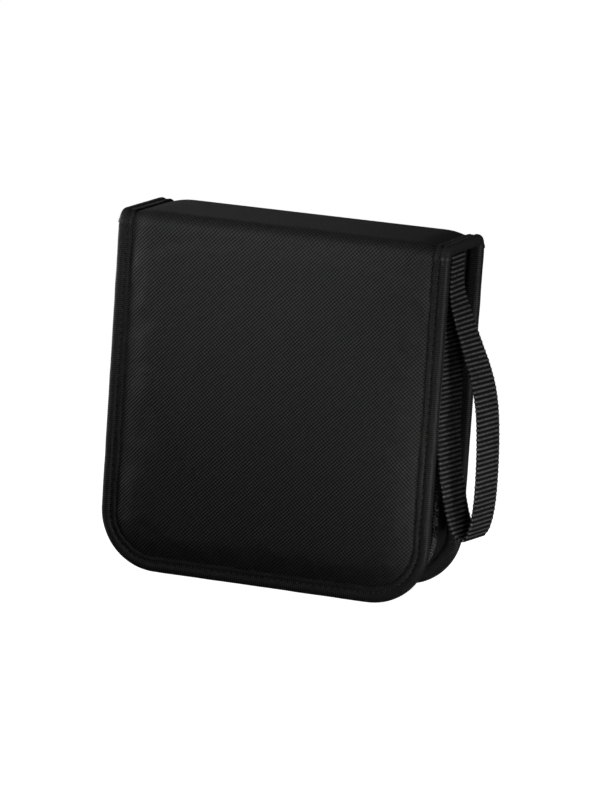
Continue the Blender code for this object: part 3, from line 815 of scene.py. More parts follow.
@dataclass(frozen=True)
class Case:
    """Form of the closed case, worked out from the frame's boxes."""

    low: Vector = field(default_factory=lambda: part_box("front_binding")[0])
    high: Vector = field(default_factory=lambda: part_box("front_binding")[1])
    top: float = field(default_factory=lambda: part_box("spine_binding_left")[1].z)
    corner_radius: float = 27 * MM
    fold_radius: float = 6 * MM
    true_run_inset: float = 1.5 * MM

    @property
    def middle(self) -> float:
        """X of the case's middle."""
        return (self.low.x + self.high.x) / 2

    @property
    def width(self) -> float:
        """Width over the bindings."""
        return self.high.x - self.low.x

    @property
    def half_depth(self) -> float:
        """Half of the depth over the bindings."""
        return -self.low.y

    @property
    def thickness(self) -> float:
        """Thickness of a cover's bound edge."""
        return self.high.y - self.low.y

    @property
    def cover_top(self) -> float:
        """Height at which the covers end below the folds."""
        return self.high.z

    @property
    def fold_line(self) -> float:
        """Height at which the folds start to turn."""
        return self.top - self.fold_radius

    def marks(self) -> np.ndarray:
        """Runs at which the rim changes between straight and round.

        Returns:
            The four marks and the whole length.
        """
        straight = self.cover_top - self.corner_radius
        arc = QUARTER * (self.corner_radius - self.true_run_inset)
        flat = self.width - 2 * self.corner_radius
        return np.cumsum([straight, arc, flat, arc, straight])

    def rim(self, run: np.ndarray, inset: np.ndarray) -> tuple[np.ndarray, np.ndarray]:
        """Places on a cover: down the left side, round both lower corners and up the right side.

        Args:
            run: Distance along the rim.
            inset: Distance in from the edge.

        Returns:
            X and Z of the places.
        """
        marks = self.marks()
        radius = self.corner_radius - self.true_run_inset
        flat = self.width / 2 - self.corner_radius
        reach = self.corner_radius - inset
        first = math.pi + (run - marks[0]) / radius
        second = 1.5 * math.pi + (run - marks[2]) / radius
        spans = [run <= marks[0], run <= marks[1], run <= marks[2], run <= marks[3]]
        x = np.select(spans, [
            inset - self.width / 2, reach * np.cos(first) - flat, run - marks[1] - flat,
            reach * np.cos(second) + flat], self.width / 2 - inset)
        z = np.select(spans, [
            self.cover_top - run, self.corner_radius + reach * np.sin(first), inset + 0 * run,
            self.corner_radius + reach * np.sin(second)], self.corner_radius + run - marks[3])
        return x + self.middle, z

    def arch(self, run: np.ndarray, depth: np.ndarray) -> tuple[np.ndarray, np.ndarray]:
        """Places over the spine, from the front fold line to the back one.

        Args:
            run: Distance over the spine, along its outer plane.
            depth: Depth below that plane.

        Returns:
            Y and Z of the places.
        """
        quarter = QUARTER * self.fold_radius
        flat = 2 * (self.half_depth - self.fold_radius)
        reach = self.fold_radius - depth
        centre = self.half_depth - self.fold_radius
        first = run / self.fold_radius
        second = QUARTER - (run - quarter - flat) / self.fold_radius
        spans = [run <= 0, run <= quarter, run <= quarter + flat, run <= 2 * quarter + flat]
        y = np.select(spans, [
            depth - self.half_depth, -centre - reach * np.cos(first), run - quarter - centre,
            centre + reach * np.cos(second)], self.half_depth - depth)
        z = np.select(spans, [
            self.fold_line + run, self.fold_line + reach * np.sin(first), self.top - depth,
            self.fold_line + reach * np.sin(second)], self.fold_line - (run - 2 * quarter - flat))
        return y, z

    def inset_of(self, x: np.ndarray, y: np.ndarray) -> np.ndarray:
        """Distance in from the bound edge of places on a cover laid flat.

        Args:
            x: Places across.
            y: Places up.

        Returns:
            The insets.
        """
        sides = self.width / 2 - np.abs(x)
        radius = self.corner_radius
        across = np.abs(x) - (self.width / 2 - radius)
        below = radius - y
        in_corner = (across > 0) & (below > 0)
        round_part = radius - np.hypot(np.maximum(across, 0), np.maximum(below, 0))
        return np.where(in_corner, round_part, np.minimum(sides, np.maximum(y, 0)))

    @property
    def arch_length(self) -> float:
        """Distance over the spine from fold line to fold line."""
        return math.pi * self.fold_radius + 2 * (self.half_depth - self.fold_radius)


@dataclass
class PaddedWrap:
    """The padded twill: each half runs up its cover, over the fold and to the spine's middle."""

    case: Case
    cell: float = 2.0 * MM
    tuck: float = 5.6 * MM
    under_binding: float = 1.45 * MM
    rise_start: float = 6.2 * MM
    rise: float = 11 * MM
    proud: float = 1.7 * MM
    spine_crown: float = 0.5 * MM
    cloth: float = 0.7 * MM
    fill: float = 0.45
    pressure: float = 4.0
    mass: float = 0.2
    stretch_stiffness: float = 22
    shear_stiffness: float = 6
    bending_stiffness: float = 0.6
    spare_cloth: float = 0.012
    steps: int = 20
    swell_cap: float = 0.9 * MM
    seam_reach: float = 2 * MM
    fold_centre: float = 2 * MM
    fold_reach: float = 9 * MM
    spine_reach: float = 8 * MM
    blend_reach: float = 3 * MM

    @property
    def run_to_middle(self) -> float:
        """Length of a half from the case's foot to the middle of the spine."""
        return self.case.fold_line + self.case.arch_length / 2

    def half_sheet(self, side: Side) -> Piece:
        """Flat cloth of one half, cut to the cover's outline.

        Args:
            side: Which half.

        Returns:
            The sheet, with x across and y up.
        """
        case = self.case
        sheet = Bench.sheet(
            f"{side.label}_wrap", case.width / 2 - self.tuck, self.tuck, self.run_to_middle, self.cell,
            case.corner_radius - self.tuck)
        if side is Side.BACK:
            for corner in sheet.data.uv_layers[0].data:
                corner.uv.y = 2 * self.run_to_middle - corner.uv.y
        return sheet

    def folded(self, side: Side, flat: np.ndarray, lift: np.ndarray) -> np.ndarray:
        """Fold the flat cloth round the case.

        Args:
            side: Which half.
            flat: Corners of the flat sheet.
            lift: Height of each corner above the bound edge's outer plane.

        Returns:
            The corners in space.
        """
        run = flat[:, 1] - self.case.fold_line
        y, z = self.case.arch(np.minimum(run, self.case.arch_length / 2), -lift)
        return np.stack([flat[:, 0] + self.case.middle, -side.value * y, z], axis=1)

    def lift_of(self, flat: np.ndarray) -> np.ndarray:
        """Height of the cloth over the bound edge's outer plane before it swells.

        Args:
            flat: Corners of the flat sheet.

        Returns:
            The height of each corner.
        """
        inset = self.case.inset_of(flat[:, 0], flat[:, 1])
        bulge = np.sin(QUARTER * ramp(inset, self.rise_start, self.rise))
        over = ramp(flat[:, 1], self.case.fold_line, QUARTER * self.case.fold_radius)
        crown = self.proud + (self.spine_crown - self.proud) * over
        return -self.under_binding + bulge * (self.under_binding + crown)

    def swell(self, sheet: Piece, held: np.ndarray, outward: int) -> None:
        """Let the cloth swell under pressure, held along its seams, with a cap on the movement.

        Args:
            sheet: The folded sheet.
            held: Which corners are held, from 0 to 1.
            outward: Sign of Y away from the case. The cloth never sinks into its board.
        """
        start = Bench.points(sheet)
        pins = sheet.vertex_groups.new(name="seams")
        for index in np.flatnonzero(held > 0):
            pins.add([int(index)], float(held[index]), "REPLACE")
        cloth = sheet.modifiers.new("cloth", "CLOTH")
        settings = cloth.settings
        settings.quality = 6
        settings.mass = self.mass
        settings.tension_stiffness = settings.compression_stiffness = self.stretch_stiffness
        settings.shear_stiffness = self.shear_stiffness
        settings.bending_stiffness = self.bending_stiffness
        settings.vertex_group_mass = "seams"
        settings.use_pressure = True
        settings.uniform_pressure_force = self.pressure
        settings.shrink_min = -self.spare_cloth
        settings.effector_weights.gravity = 0
        cloth.point_cache.frame_start = 1
        cloth.point_cache.frame_end = self.steps
        scene = bpy.context.scene
        for step in range(1, self.steps + 1):
            scene.frame_set(step)
        Bench.take(sheet)
        bpy.ops.object.modifier_apply(modifier="cloth")
        scene.frame_set(1)

        def capped(points: np.ndarray) -> np.ndarray:
            """Limit how far the cloth moved, and let it move outwards only.

            Args:
                points: Corners of the piece before it.

            Returns:
                The corners moved.
            """
            move = points - start
            size = np.linalg.norm(move, axis=1, keepdims=True)
            limit = self.swell_cap * np.tanh(size / self.swell_cap)
            move = move / np.maximum(size, 1e-9) * limit * (1 - held[:, None])
            move[:, 1] = outward * np.maximum(outward * move[:, 1], 0)
            return start + move

        Bench.reshape(sheet, capped)
        sheet.vertex_groups.clear()

    def build(self, side: Side) -> Piece:
        """Make one half of the wrap.

        Args:
            side: Which half.

        Returns:
            The finished piece.
        """
        sheet = self.half_sheet(side)
        flat = Bench.points(sheet)
        inset = self.case.inset_of(flat[:, 0], flat[:, 1])
        above = flat[:, 1] - self.case.fold_line
        seam = 1 - ramp(inset, self.rise_start, self.seam_reach)
        fold = 1 - ramp(np.abs(above - self.fold_centre), 0, self.fold_reach)
        held = np.maximum.reduce([seam, fold, ramp(above, 0, self.spine_reach)])
        Bench.reshape(sheet, lambda points: self.folded(side, points, self.lift_of(points)))
        if side is Side.BACK:
            with Bench.editing(sheet):
                bpy.ops.mesh.flip_normals()
        self.swell(sheet, held, side.value)
        Bench.modify(sheet, "SUBSURF", levels=1, render_levels=1, boundary_smooth="PRESERVE_CORNERS")
        Bench.modify(sheet, "SOLIDIFY", thickness=self.cloth, offset=-1)
        TWILL.dress(Bench.shade(sheet, Bench.SOFT))
        replaced = [f"{side.label}_cover_skin"] + (["spine_skin"] if side is Side.FRONT else [])
        x, y, z = self.case.middle, side.value * self.case.half_depth, self.case.fold_line
        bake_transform(sheet)
        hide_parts(*replaced)
        return sheet


@dataclass
class EdgeBinding:
    """Ribbed tape folded over every edge: a bead, a stitched groove and a puckered strip."""

    case: Case
    rib: float = 0.92 * MM
    rib_height: float = 0.16 * MM
    arch_rib_height: float = 0.05 * MM
    hem: float = 2.2 * MM
    hem_swell: float = 0.4 * MM
    hem_drop: float = 0.25 * MM
    stitch_pitch: float = 1.5 * MM
    thread: float = 0.17 * MM
    thread_sink: float = 0.3 * MM
    thread_depth: float = 0.43 * MM
    zigzag: tuple[float, float] = (4.15, 5.75)
    rib_steps: tuple[float, ...] = (0.18, 0.22, 0.2, 0.22, 0.18)
    strip_start: float = 4.6 * MM
    pucker: float = 0.28 * MM
    dimple: float = 0.12 * MM
    bead: float = 4 * MM
    bead_swell: float = 0.14 * MM
    outline: tuple[tuple[float, float], ...] = (
        (7.0, 1.15), (7.1, 0.8), (6.85, 0.42), (6.1, 0.25), (5.3, 0.4), (4.75, 0.85), (4.2, 0.85),
        (3.8, 0.3), (3.1, -0.02), (2.3, -0.08), (1.4, 0.12), (0.6, 0.65), (0.12, 1.5), (0.0, 2.5),
        (0.12, 3.5), (0.6, 4.35), (1.4, 4.85), (2.4, 5.0), (4.4, 5.0), (6.3, 5.0), (6.4, 4.6),
        (6.4, 3.95), (1.25, 3.95), (1.25, 1.15))
    shown_points: int = 21

    def rib_tube(self, name: str, length: float, height: float) -> Piece:
        """Straight ribbed tape, one rib modelled and repeated.

        Args:
            name: Name of the piece.
            length: Its length.
            height: Height of a rib.

        Returns:
            The tape along X, with inset as y and depth as z.
        """
        count = round(length / self.rib)
        pitch = length / count
        outline = [(a * MM, b * MM) for a, b in self.outline]
        tube = Bench.ring_tube(name, outline, [pitch * share for share in self.rib_steps])
        ring = np.array(outline)
        ahead, behind = np.roll(ring, -1, axis=0), np.roll(ring, 1, axis=0)
        tangent = ahead - behind
        outward = np.stack([-tangent[:, 1], tangent[:, 0]], axis=1)
        outward /= np.linalg.norm(outward, axis=1, keepdims=True)
        middle = ring.mean(axis=0)
        if np.sum((ring - middle) * outward) < 0:
            outward = -outward
        outward[self.shown_points:] = 0

        def ribbed(points: np.ndarray) -> np.ndarray:
            """Lift the middle of the rib.

            Args:
                points: Corners of the piece before it.

            Returns:
                The corners moved.
            """
            nearest = np.argmin(np.linalg.norm(points[:, None, 1:] - ring[None], axis=2), axis=1)
            lift = height * np.sin(math.pi * ramp(points[:, 0], 0, pitch)) ** 0.7
            points[:, 1:] += outward[nearest] * lift[:, None]
            return points

        Bench.reshape(tube, ribbed)
        Bench.repeat(tube, count, pitch)
        Bench.keep_pattern(tube, self.rib / pitch)
        return tube

    def puckered(self, points: np.ndarray, seed: int) -> np.ndarray:
        """Make the straight tape uneven, as a sewn one is.

        Args:
            points: Corners as run, inset and depth.
            seed: Which unevenness.

        Returns:
            The corners moved.
        """
        run, inset, depth = points.T.copy()
        strip = ramp(inset, self.strip_start, 2 * MM) * (depth < 1.3 * MM)
        waves = soft_noise(run, 1.7 * MM, seed) + 0.6 * soft_noise(run, 5 * MM, seed + 1)
        inset = inset + strip * self.pucker * waves
        depth = depth - strip * self.dimple * soft_noise(run, 2.1 * MM, seed + 2)
        bead = np.clip(1 - inset / self.bead, 0, 1)
        inset = inset + bead * self.bead_swell * (1 + soft_noise(run, 7 * MM, seed + 3)) / 2
        return np.stack([run, inset, depth], axis=1)

    def stitches(self, name: str, length: float, bent: Reshape) -> Piece:
        """Zigzag thread along the groove: one pair of stitches modelled, repeated and bent.

        Args:
            name: Name of the piece.
            length: Length of the seam.
            bent: Puts straight places onto the case.

        Returns:
            The thread.
        """
        count = round(length / (2 * self.stitch_pitch))
        pitch = length / count
        run = pitch / 2
        pair = []
        for number, (start, end) in enumerate((self.zigzag, self.zigzag[::-1])):
            rise = (end - start) * MM
            reach = 0.94 * math.hypot(run, rise)
            stitch = Bench.stitch(f"{name}_{number}", reach, self.thread, self.thread_sink)
            turn = Matrix.Rotation(math.atan2(rise, run), 3, "Z")
            place = Vector(((number + 0.5) * run, (start + end) / 2 * MM, self.thread_depth))

            def laid(points: np.ndarray, turn: Matrix = turn, place: Vector = place) -> np.ndarray:
                """Turn the stitch and put it in its place."""
                return points @ np.array(turn).T + np.array(place)

            Bench.reshape(stitch, laid)
            pair.append(stitch)
        thread = Bench.join(pair, name)
        Bench.repeat(thread, count, pitch, merge=False)
        Bench.keep_pattern(thread)
        return Bench.finished(Bench.reshape(thread, bent), THREAD, Bench.SOFT)

    def tape_and_thread(
            self, name: str, length: float, height: float, bent: Reshape,
            finish: Finish) -> list[Piece]:
        """One edge's tape and its stitches.

        Args:
            name: First words of the pieces' names.
            length: Length of the edge.
            height: Height of a rib.
            bent: Puts straight places onto the case.
            finish: Finish of the tape.

        Returns:
            The two pieces.
        """
        tape = Bench.reshape(self.rib_tube(f"{name}_tape", length, height), bent)
        Bench.finished(tape, finish, Bench.ROUND, caps=True)
        return [tape, self.stitches(f"{name}_stitches", length, bent)]

    def on_cover(self, side: Side, seed: int) -> Reshape:
        """The rule that bends straight tape round a cover.

        Args:
            side: Which cover.
            seed: Which unevenness.

        Returns:
            The rule.
        """
        def bent(points: np.ndarray) -> np.ndarray:
            """Bend the tape round the cover.

            Args:
                points: Corners of the piece before it.

            Returns:
                The corners moved.
            """
            run, inset, depth = self.puckered(points, seed).T
            x, z = self.case.rim(run, inset)
            return np.stack([x, side.value * (self.case.half_depth - depth), z], axis=1)

        return bent

    def on_arch(self, end: End, seed: int) -> Reshape:
        """The rule that bends straight tape over an end of the spine.

        Args:
            end: Which end.
            seed: Which unevenness.

        Returns:
            The rule.
        """
        length = self.case.arch_length

        def bent(points: np.ndarray) -> np.ndarray:
            """Bend the tape over the spine's end.

            Args:
                points: Corners of the piece before it.

            Returns:
                The corners moved.
            """
            run, inset, depth = self.puckered(points, seed).T
            swell = np.clip(1 - np.minimum(run, length - run) / self.hem, 0, 1) ** 0.5 * self.hem_swell
            inset = inset - swell * np.clip(1 - inset / (3 * MM), -0.5, 1)
            depth = depth - swell * np.clip(1 - depth / (2.5 * MM), -1, 1)
            run = run * (1 + 2 * self.hem_drop / length) - self.hem_drop
            y, z = self.case.arch(run, depth)
            x = self.case.middle + end.value * (self.case.width / 2 - inset)
            return np.stack([x, y, z], axis=1)

        return bent

    def build_cover(self, side: Side) -> list[Piece]:
        """Binding and thread of a cover.

        Args:
            side: Which cover.

        Returns:
            The two pieces.
        """
        length = float(self.case.marks()[-1])
        bent = self.on_cover(side, 11 if side is Side.FRONT else 21)
        pieces = self.tape_and_thread(f"{side.label}_edge", length, self.rib_height, bent, BINDING)
        for piece in pieces:
            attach(piece, f"{side.label}_cover")
        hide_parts(f"{side.label}_binding")
        return pieces

    def build_arch(self, end: End) -> list[Piece]:
        """Binding and thread over an end of the spine.

        Args:
            end: Which end.

        Returns:
            The two pieces.
        """
        bent = self.on_arch(end, 31 if end is End.LEFT else 41)
        pieces = self.tape_and_thread(
            f"{end.label}_arch", self.case.arch_length, self.arch_rib_height, bent, SATIN_PAINTED_LIGHT)
        for piece in pieces:
            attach(piece, "spine")
        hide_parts(f"spine_binding_{end.label}")
        return pieces


@dataclass
class WristStrap:
    """Webbing loop sewn in at the right end of the spine, with cross ribs and warp yarns."""

    case: Case
    width: float = 20 * MM
    thickness: float = 1.5 * MM
    rib: float = 2.1 * MM
    straight: float = 16 * MM
    reach: float = 16.6 * MM
    foot: float = 30 * MM
    turn: float = math.radians(9)
    gap: float = 0.3 * MM
    lean: float = 6.5 * MM
    lean_from: float = 98 * MM
    lean_height: float = 40 * MM
    tuck: float = 1.1 * MM
    gather: float = 0.22
    gather_length: float = 26 * MM
    gather_rise: float = 22 * MM
    rib_relief: float = 0.42 * MM
    rib_sink: float = 0.2 * MM
    low_rib: float = 0.62
    scallop: float = 0.35 * MM
    guide_steps: int = 24
    inner_shares: tuple = ((-0.19, 0.57), (-0.10, 0.33), (0.13, 0.16), (0.38, 0.04))
    turning_share: float = 0.69
    outer_shares: tuple = (
        (0.90, 0.05), (0.99, 0.18), (0.95, 0.40), (0.79, 0.58), (0.38, 0.77), (0.06, 0.92))
    warp_yarns: int = 12
    stations: int = 6

    @property
    def top(self) -> float:
        """Height of the sewn ends."""
        return self.case.top - self.case.thickness - self.gap

    def route(self) -> np.ndarray:
        """Middle line of the loop, smooth and close together.

        Returns:
            Points as (x, z).
        """
        side = self.case.high.x
        outer = side - self.gap - self.thickness / 2
        inner = outer - self.thickness - self.gap
        joined = self.top - self.straight
        guide = [(inner, self.top), (inner, joined)]
        for out, up in self.inner_shares + ((self.turning_share, 0.0),) + self.outer_shares:
            guide.append((side + out * self.reach, self.foot + up * (joined - self.foot)))
        guide += [(outer, joined), (outer, self.top)]
        knots = np.array(guide)
        knots = np.vstack([2 * knots[0] - knots[1], knots, 2 * knots[-1] - knots[-2]])
        line = []
        for before, start, end, after in zip(knots, knots[1:], knots[2:], knots[3:]):
            for share in np.linspace(0, 1, self.guide_steps, endpoint=False):
                bend = 2 * before - 5 * start + 4 * end - after
                twist = 3 * (start - end) + after - before
                curve = (end - before) * share + bend * share ** 2 + twist * share ** 3
                line.append(start + 0.5 * curve)
        return np.array(line + [knots[-2]])

    def woven_length(self, pitch: float) -> Piece:
        """Two ribs of straight webbing, a high one and a low one.

        Args:
            pitch: Length of one rib.

        Returns:
            The length along X.
        """
        half, thick = self.width / 2, self.thickness / 2
        columns = 4 * self.warp_yarns
        face = [(-half + 2 * half * i / columns, thick) for i in range(columns + 1)]
        edge = [(half + self.scallop, thick * 0.5), (half + self.scallop, -thick * 0.5)]
        outline = face + edge + [(-y, -z) for y, z in face] + [(-y, -z) for y, z in edge]
        count = 2 * self.stations
        tube = Bench.ring_tube("wrist_strap_webbing", outline, [2 * pitch / count] * count)

        def woven(points: np.ndarray) -> np.ndarray:
            """Raise the ribs and the yarns.

            Args:
                points: Corners of the piece before it.

            Returns:
                The corners moved.
            """
            share = points[:, 0] / pitch
            wave = 0.5 - 0.5 * np.cos(2 * math.pi * share)
            high = np.where(np.floor(share + 1e-6) % 2 == 0, 1.0, self.low_rib)
            yarn = np.cos(2 * math.pi * self.warp_yarns * (points[:, 1] + half) / (2 * half))
            lift = self.rib_relief * (wave ** 1.6 * high) * (0.85 - 0.15 * yarn) - self.rib_sink
            shown = np.abs(points[:, 2]) > thick * 0.6
            points[:, 2] += np.sign(points[:, 2]) * np.where(shown, lift, 0)
            edges = np.abs(points[:, 1]) > half
            points[:, 1] += np.where(edges, np.sign(points[:, 1]) * (wave - 0.5) * self.scallop, 0)
            return points

        return Bench.reshape(tube, woven)

    def bent(self, points: np.ndarray) -> np.ndarray:
        """Bend straight webbing along the loop, turning it about the vertical below its seam.

        Args:
            points: Corners as run, width and thickness.

        Returns:
            The corners in space.
        """
        line = self.route()
        lengths = np.concatenate([[0], np.cumsum(np.linalg.norm(np.diff(line, axis=0), axis=1))])
        x = np.interp(points[:, 0], lengths, line[:, 0])
        z = np.interp(points[:, 0], lengths, line[:, 1])
        slope = np.gradient(line, lengths, axis=0)
        ahead_x = np.interp(points[:, 0], lengths, slope[:, 0])
        ahead_z = np.interp(points[:, 0], lengths, slope[:, 1])
        size = np.hypot(ahead_x, ahead_z)
        below = self.top - z - self.straight
        turn = self.turn * ramp(below, 0, 2 * self.straight)
        x = x + points[:, 1] * np.sin(turn) + points[:, 2] * ahead_z / size
        z = z - points[:, 2] * ahead_x / size
        rise = eased(ramp(z, self.lean_from, self.lean_height))
        tuck = eased(ramp(z, self.top - self.gather_length, self.gather_rise))
        y = points[:, 1] * np.cos(turn) * (1 - self.gather * tuck) - self.lean * rise
        return np.stack([x - self.tuck * tuck, y, z], axis=1)

    def build(self) -> list[Piece]:
        """Make the webbing loop.

        Returns:
            The loop.
        """
        line = self.route()
        length = float(np.sum(np.linalg.norm(np.diff(line, axis=0), axis=1)))
        pairs = round(length / (2 * self.rib))
        pitch = length / (2 * pairs)
        strap = self.woven_length(pitch)
        Bench.repeat(strap, pairs, 2 * pitch)
        Bench.keep_pattern(strap, self.rib / pitch)
        Bench.finished(Bench.reshape(strap, self.bent), WEBBING, Bench.ROUND, caps=True)
        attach(strap, "spine")
        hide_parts("wrist_strap")
        return [strap]


@dataclass
class ZipFastener:
    """Tape walls, coils of looped nylon, the zip's ends, the slider and its pull."""

    case: Case
    coil_pitch: float = 1.6 * MM
    coil_inset: float = 5.0 * MM
    coil_height: float = 1.4 * MM
    coil_reach: float = 3.2 * MM
    tip: float = 0.34 * MM
    wire: float = 0.34 * MM
    flange: float = 1.3 * MM
    wall: float = 6.95 * MM
    bend: float = 0.8 * MM
    tape: float = 0.45 * MM
    tape_depth: float = 3.35 * MM
    tape_edge: float = 1.0 * MM
    slack: float = 0.75 * MM
    slack_start: float = 6.5 * MM
    slack_width: float = 15.5 * MM
    ridge: float = 1.1 * MM
    ridge_place: float = 10 * MM
    ridge_width: float = 1.6 * MM
    cord: float = 0.12 * MM
    cord_place: float = 4.3 * MM
    cord_width: float = 0.45 * MM
    seam_pitch: float = 2.6 * MM
    seam_end: float = 1.5 * MM
    slot: float = 13.5 * MM
    end_loops: int = 8
    bar_length: float = 7 * MM
    bar_stitches: int = 7
    bar_pitch: float = 0.46 * MM
    bevel: float = 0.13 * MM
    pull_rim: float = 0.35 * MM
    ring_radius: float = 0.3
    loop_lean: float = 0.35 * MM
    wire_stretch: float = 1.15

    seeds: dict = field(default_factory=lambda: {Side.FRONT: 51, Side.BACK: 61})

    @property
    def split(self) -> float:
        """Height at which the covers' halves of the zip start."""
        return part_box("front_zip_coil")[1].z

    def loop(self) -> Piece:
        """One loop of the coil: a flattened ring of nylon wire, leaning along the run.

        Returns:
            The loop, with x along the run, y as inset and z as reach.
        """
        Bench.deselect()
        bpy.ops.mesh.primitive_torus_add(
            major_segments=10, minor_segments=5, major_radius=1, minor_radius=self.ring_radius)
        loop = Bench.named("coil_loop")
        tall = self.coil_height / 2 - self.wire
        deep = (self.coil_reach - self.tip) / 2 - self.wire

        def flattened(points: np.ndarray) -> np.ndarray:
            """Flatten the ring to the coil's size and lean it.

            Args:
                points: Corners of the piece before it.

            Returns:
                The corners moved.
            """
            angle = np.arctan2(points[:, 1], points[:, 0])
            radius = np.hypot(points[:, 0], points[:, 1])
            swell = (radius - 1) / self.ring_radius * self.wire
            lean = self.loop_lean * np.cos(angle)
            return np.stack([
                points[:, 2] / self.ring_radius * self.wire * self.wire_stretch + lean,
                self.coil_inset + self.coil_height / 2 + (tall + swell) * np.sin(angle),
                (self.coil_reach + self.tip) / 2 + (deep + swell) * np.cos(angle)], axis=1)

        return Bench.reshape(loop, flattened)

    def build_coil(self, side: Side) -> Piece:
        """One half of the coil, round three sides of a cover.

        Args:
            side: Which cover.

        Returns:
            The coil.
        """
        start = self.case.cover_top - self.split
        length = float(self.case.marks()[-1]) - 2 * start
        count = round(length / self.coil_pitch)
        pitch = length / count
        coil = self.loop()
        Bench.repeat(coil, count, pitch, merge=False)
        shift = 0.25 * pitch if side is Side.FRONT else 0.75 * pitch

        def bent(points: np.ndarray) -> np.ndarray:
            """Bend the coil round the cover."""
            x, z = self.case.rim(start + points[:, 0] + shift, points[:, 1])
            return np.stack([x, side.value * points[:, 2], z], axis=1)

        Bench.keep_pattern(coil)
        coil.name = f"{side.label}_coil_loops"
        Bench.finished(Bench.reshape(coil, bent), COIL, Bench.ROUND)
        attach(coil, f"{side.label}_cover")
        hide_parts(f"{side.label}_zip_coil")
        return coil

    def section(self, place: np.ndarray) -> tuple[np.ndarray, np.ndarray]:
        """Middle of the tape: a flange under the binding that turns into the wall.

        Args:
            place: Distance from the sewn edge.

        Returns:
            Inset and depth of the places.
        """
        flat = self.wall - self.flange - self.bend
        angle = np.clip((place - flat) / self.bend, 0, QUARTER)
        inset = self.flange + np.minimum(place, flat) + self.bend * np.sin(angle)
        depth = self.tape_depth + self.bend * (1 - np.cos(angle))
        return inset, depth + np.maximum(place - flat - QUARTER * self.bend, 0)

    def rumpled(self, run: np.ndarray, inset: np.ndarray, reach: np.ndarray, seed: int) -> np.ndarray:
        """Slack of the wall: folds beside the coil, calm where the slider passes.

        Args:
            run: Distance along the rim.
            inset: Inset of the calm wall.
            reach: Distance from the middle between the covers.
            seed: Which unevenness.

        Returns:
            The inset of the slack wall.
        """
        free = np.sin(math.pi * ramp(reach, self.slack_start, self.slack_width))
        slack = soft_noise(run + 0.7 * reach, 9 * MM, seed)
        slack = slack + 0.6 * soft_noise(run - 0.5 * reach, 4 * MM, seed + 1)
        ridge = np.exp(-((reach - self.ridge_place) / self.ridge_width) ** 2)
        ridge = ridge * (1 + 0.5 * soft_noise(run, 15 * MM, seed + 2))
        cord = np.exp(-((reach - self.cord_place) / self.cord_width) ** 2)
        return inset + free * self.slack * slack - free * self.ridge * ridge - self.cord * cord

    def build_tape(self, side: Side) -> list[Piece]:
        """Half of the tape, round three sides of a cover, and the seam beside its coil.

        Args:
            side: Which cover.

        Returns:
            The two pieces.
        """
        start = self.case.cover_top - self.split
        length = float(self.case.marks()[-1]) - 2 * start
        across = self.wall - self.flange + (QUARTER - 2) * self.bend
        across += self.case.half_depth - self.tape_edge - self.tape_depth
        tape = Bench.sheet(f"{side.label}_tape_wall", length / 2, 0, across, 1.45 * MM)
        seed = self.seeds[side]

        def placed(run: np.ndarray, inset: np.ndarray, depth: np.ndarray) -> np.ndarray:
            """Put places of the wall on the slack wall.

            Args:
                run: Distance along the rim.
                inset: Inset of the calm wall.
                depth: Depth from the cover's outer plane.

            Returns:
                The corners moved.
            """
            reach = self.case.half_depth - depth
            x, z = self.case.rim(run, self.rumpled(run, inset, reach, seed))
            return np.stack([x, side.value * reach, z], axis=1)

        def folded(points: np.ndarray) -> np.ndarray:
            """Fold the tape and bend it round the cover."""
            return placed(points[:, 0] + start + length / 2, *self.section(points[:, 1]))

        def sewn(points: np.ndarray) -> np.ndarray:
            """Put the stitches beside the coil.

            Args:
                points: Corners of the piece before it.

            Returns:
                The corners moved.
            """
            run = points[:, 0] + start + self.seam_end
            top = self.wall - self.tape / 2 - 0.02 * MM
            depth = self.case.half_depth - self.cord_place + points[:, 1]
            return placed(run, top + points[:, 2], depth)

        Bench.laid(tape, folded, self.tape, ZIP_TAPE)
        seam = Bench.seam(f"{side.label}_coil_seam", length - 2 * self.seam_end, self.seam_pitch, sewn)
        for piece in (tape, seam):
            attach(piece, f"{side.label}_cover")
        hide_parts(f"{side.label}_zip_tape")
        return [tape, seam]

    def build_end(self, end: End) -> list[Piece]:
        """An end of the zip: the tapes joined above the coils, with a bar of stitches.

        Args:
            end: Which end of the spine.

        Returns:
            The joined tape, the coils and the bar.
        """
        low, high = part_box(f"zip_end_{end.label}")
        slot = low.z + self.slot
        tape = Bench.sheet(f"{end.label}_end_tape", high.y, low.z, high.z, 1.0 * MM)
        with Bench.editing(tape) as mesh:
            Bench.select_faces(mesh, lambda face: abs(face.calc_center_median().x) < MM
                               and face.calc_center_median().y < slot)
            bpy.ops.mesh.delete(type="FACE")
        total = float(self.case.marks()[-1])

        def hung(points: np.ndarray, top: float) -> np.ndarray:
            """Hang a flat piece across the zip's end.

            Args:
                points: Corners of the piece before it.
                top: Inset of the calm tape.

            Returns:
                The corners moved.
            """
            drop = self.case.cover_top - points[:, 1]
            run = drop if end is End.LEFT else total - drop
            reach = np.abs(points[:, 0])
            halves = [self.rumpled(run, 0 * run, reach, self.seeds[side]) for side in Side]
            slack = np.where(points[:, 0] < 0, *halves)
            calm = 1 - 0.7 * ramp(points[:, 1], low.z, 10 * MM)
            x = self.case.middle + end.value * (self.case.width / 2 - top - points[:, 2] - slack * calm)
            return np.stack([x, points[:, 0], points[:, 1]], axis=1)

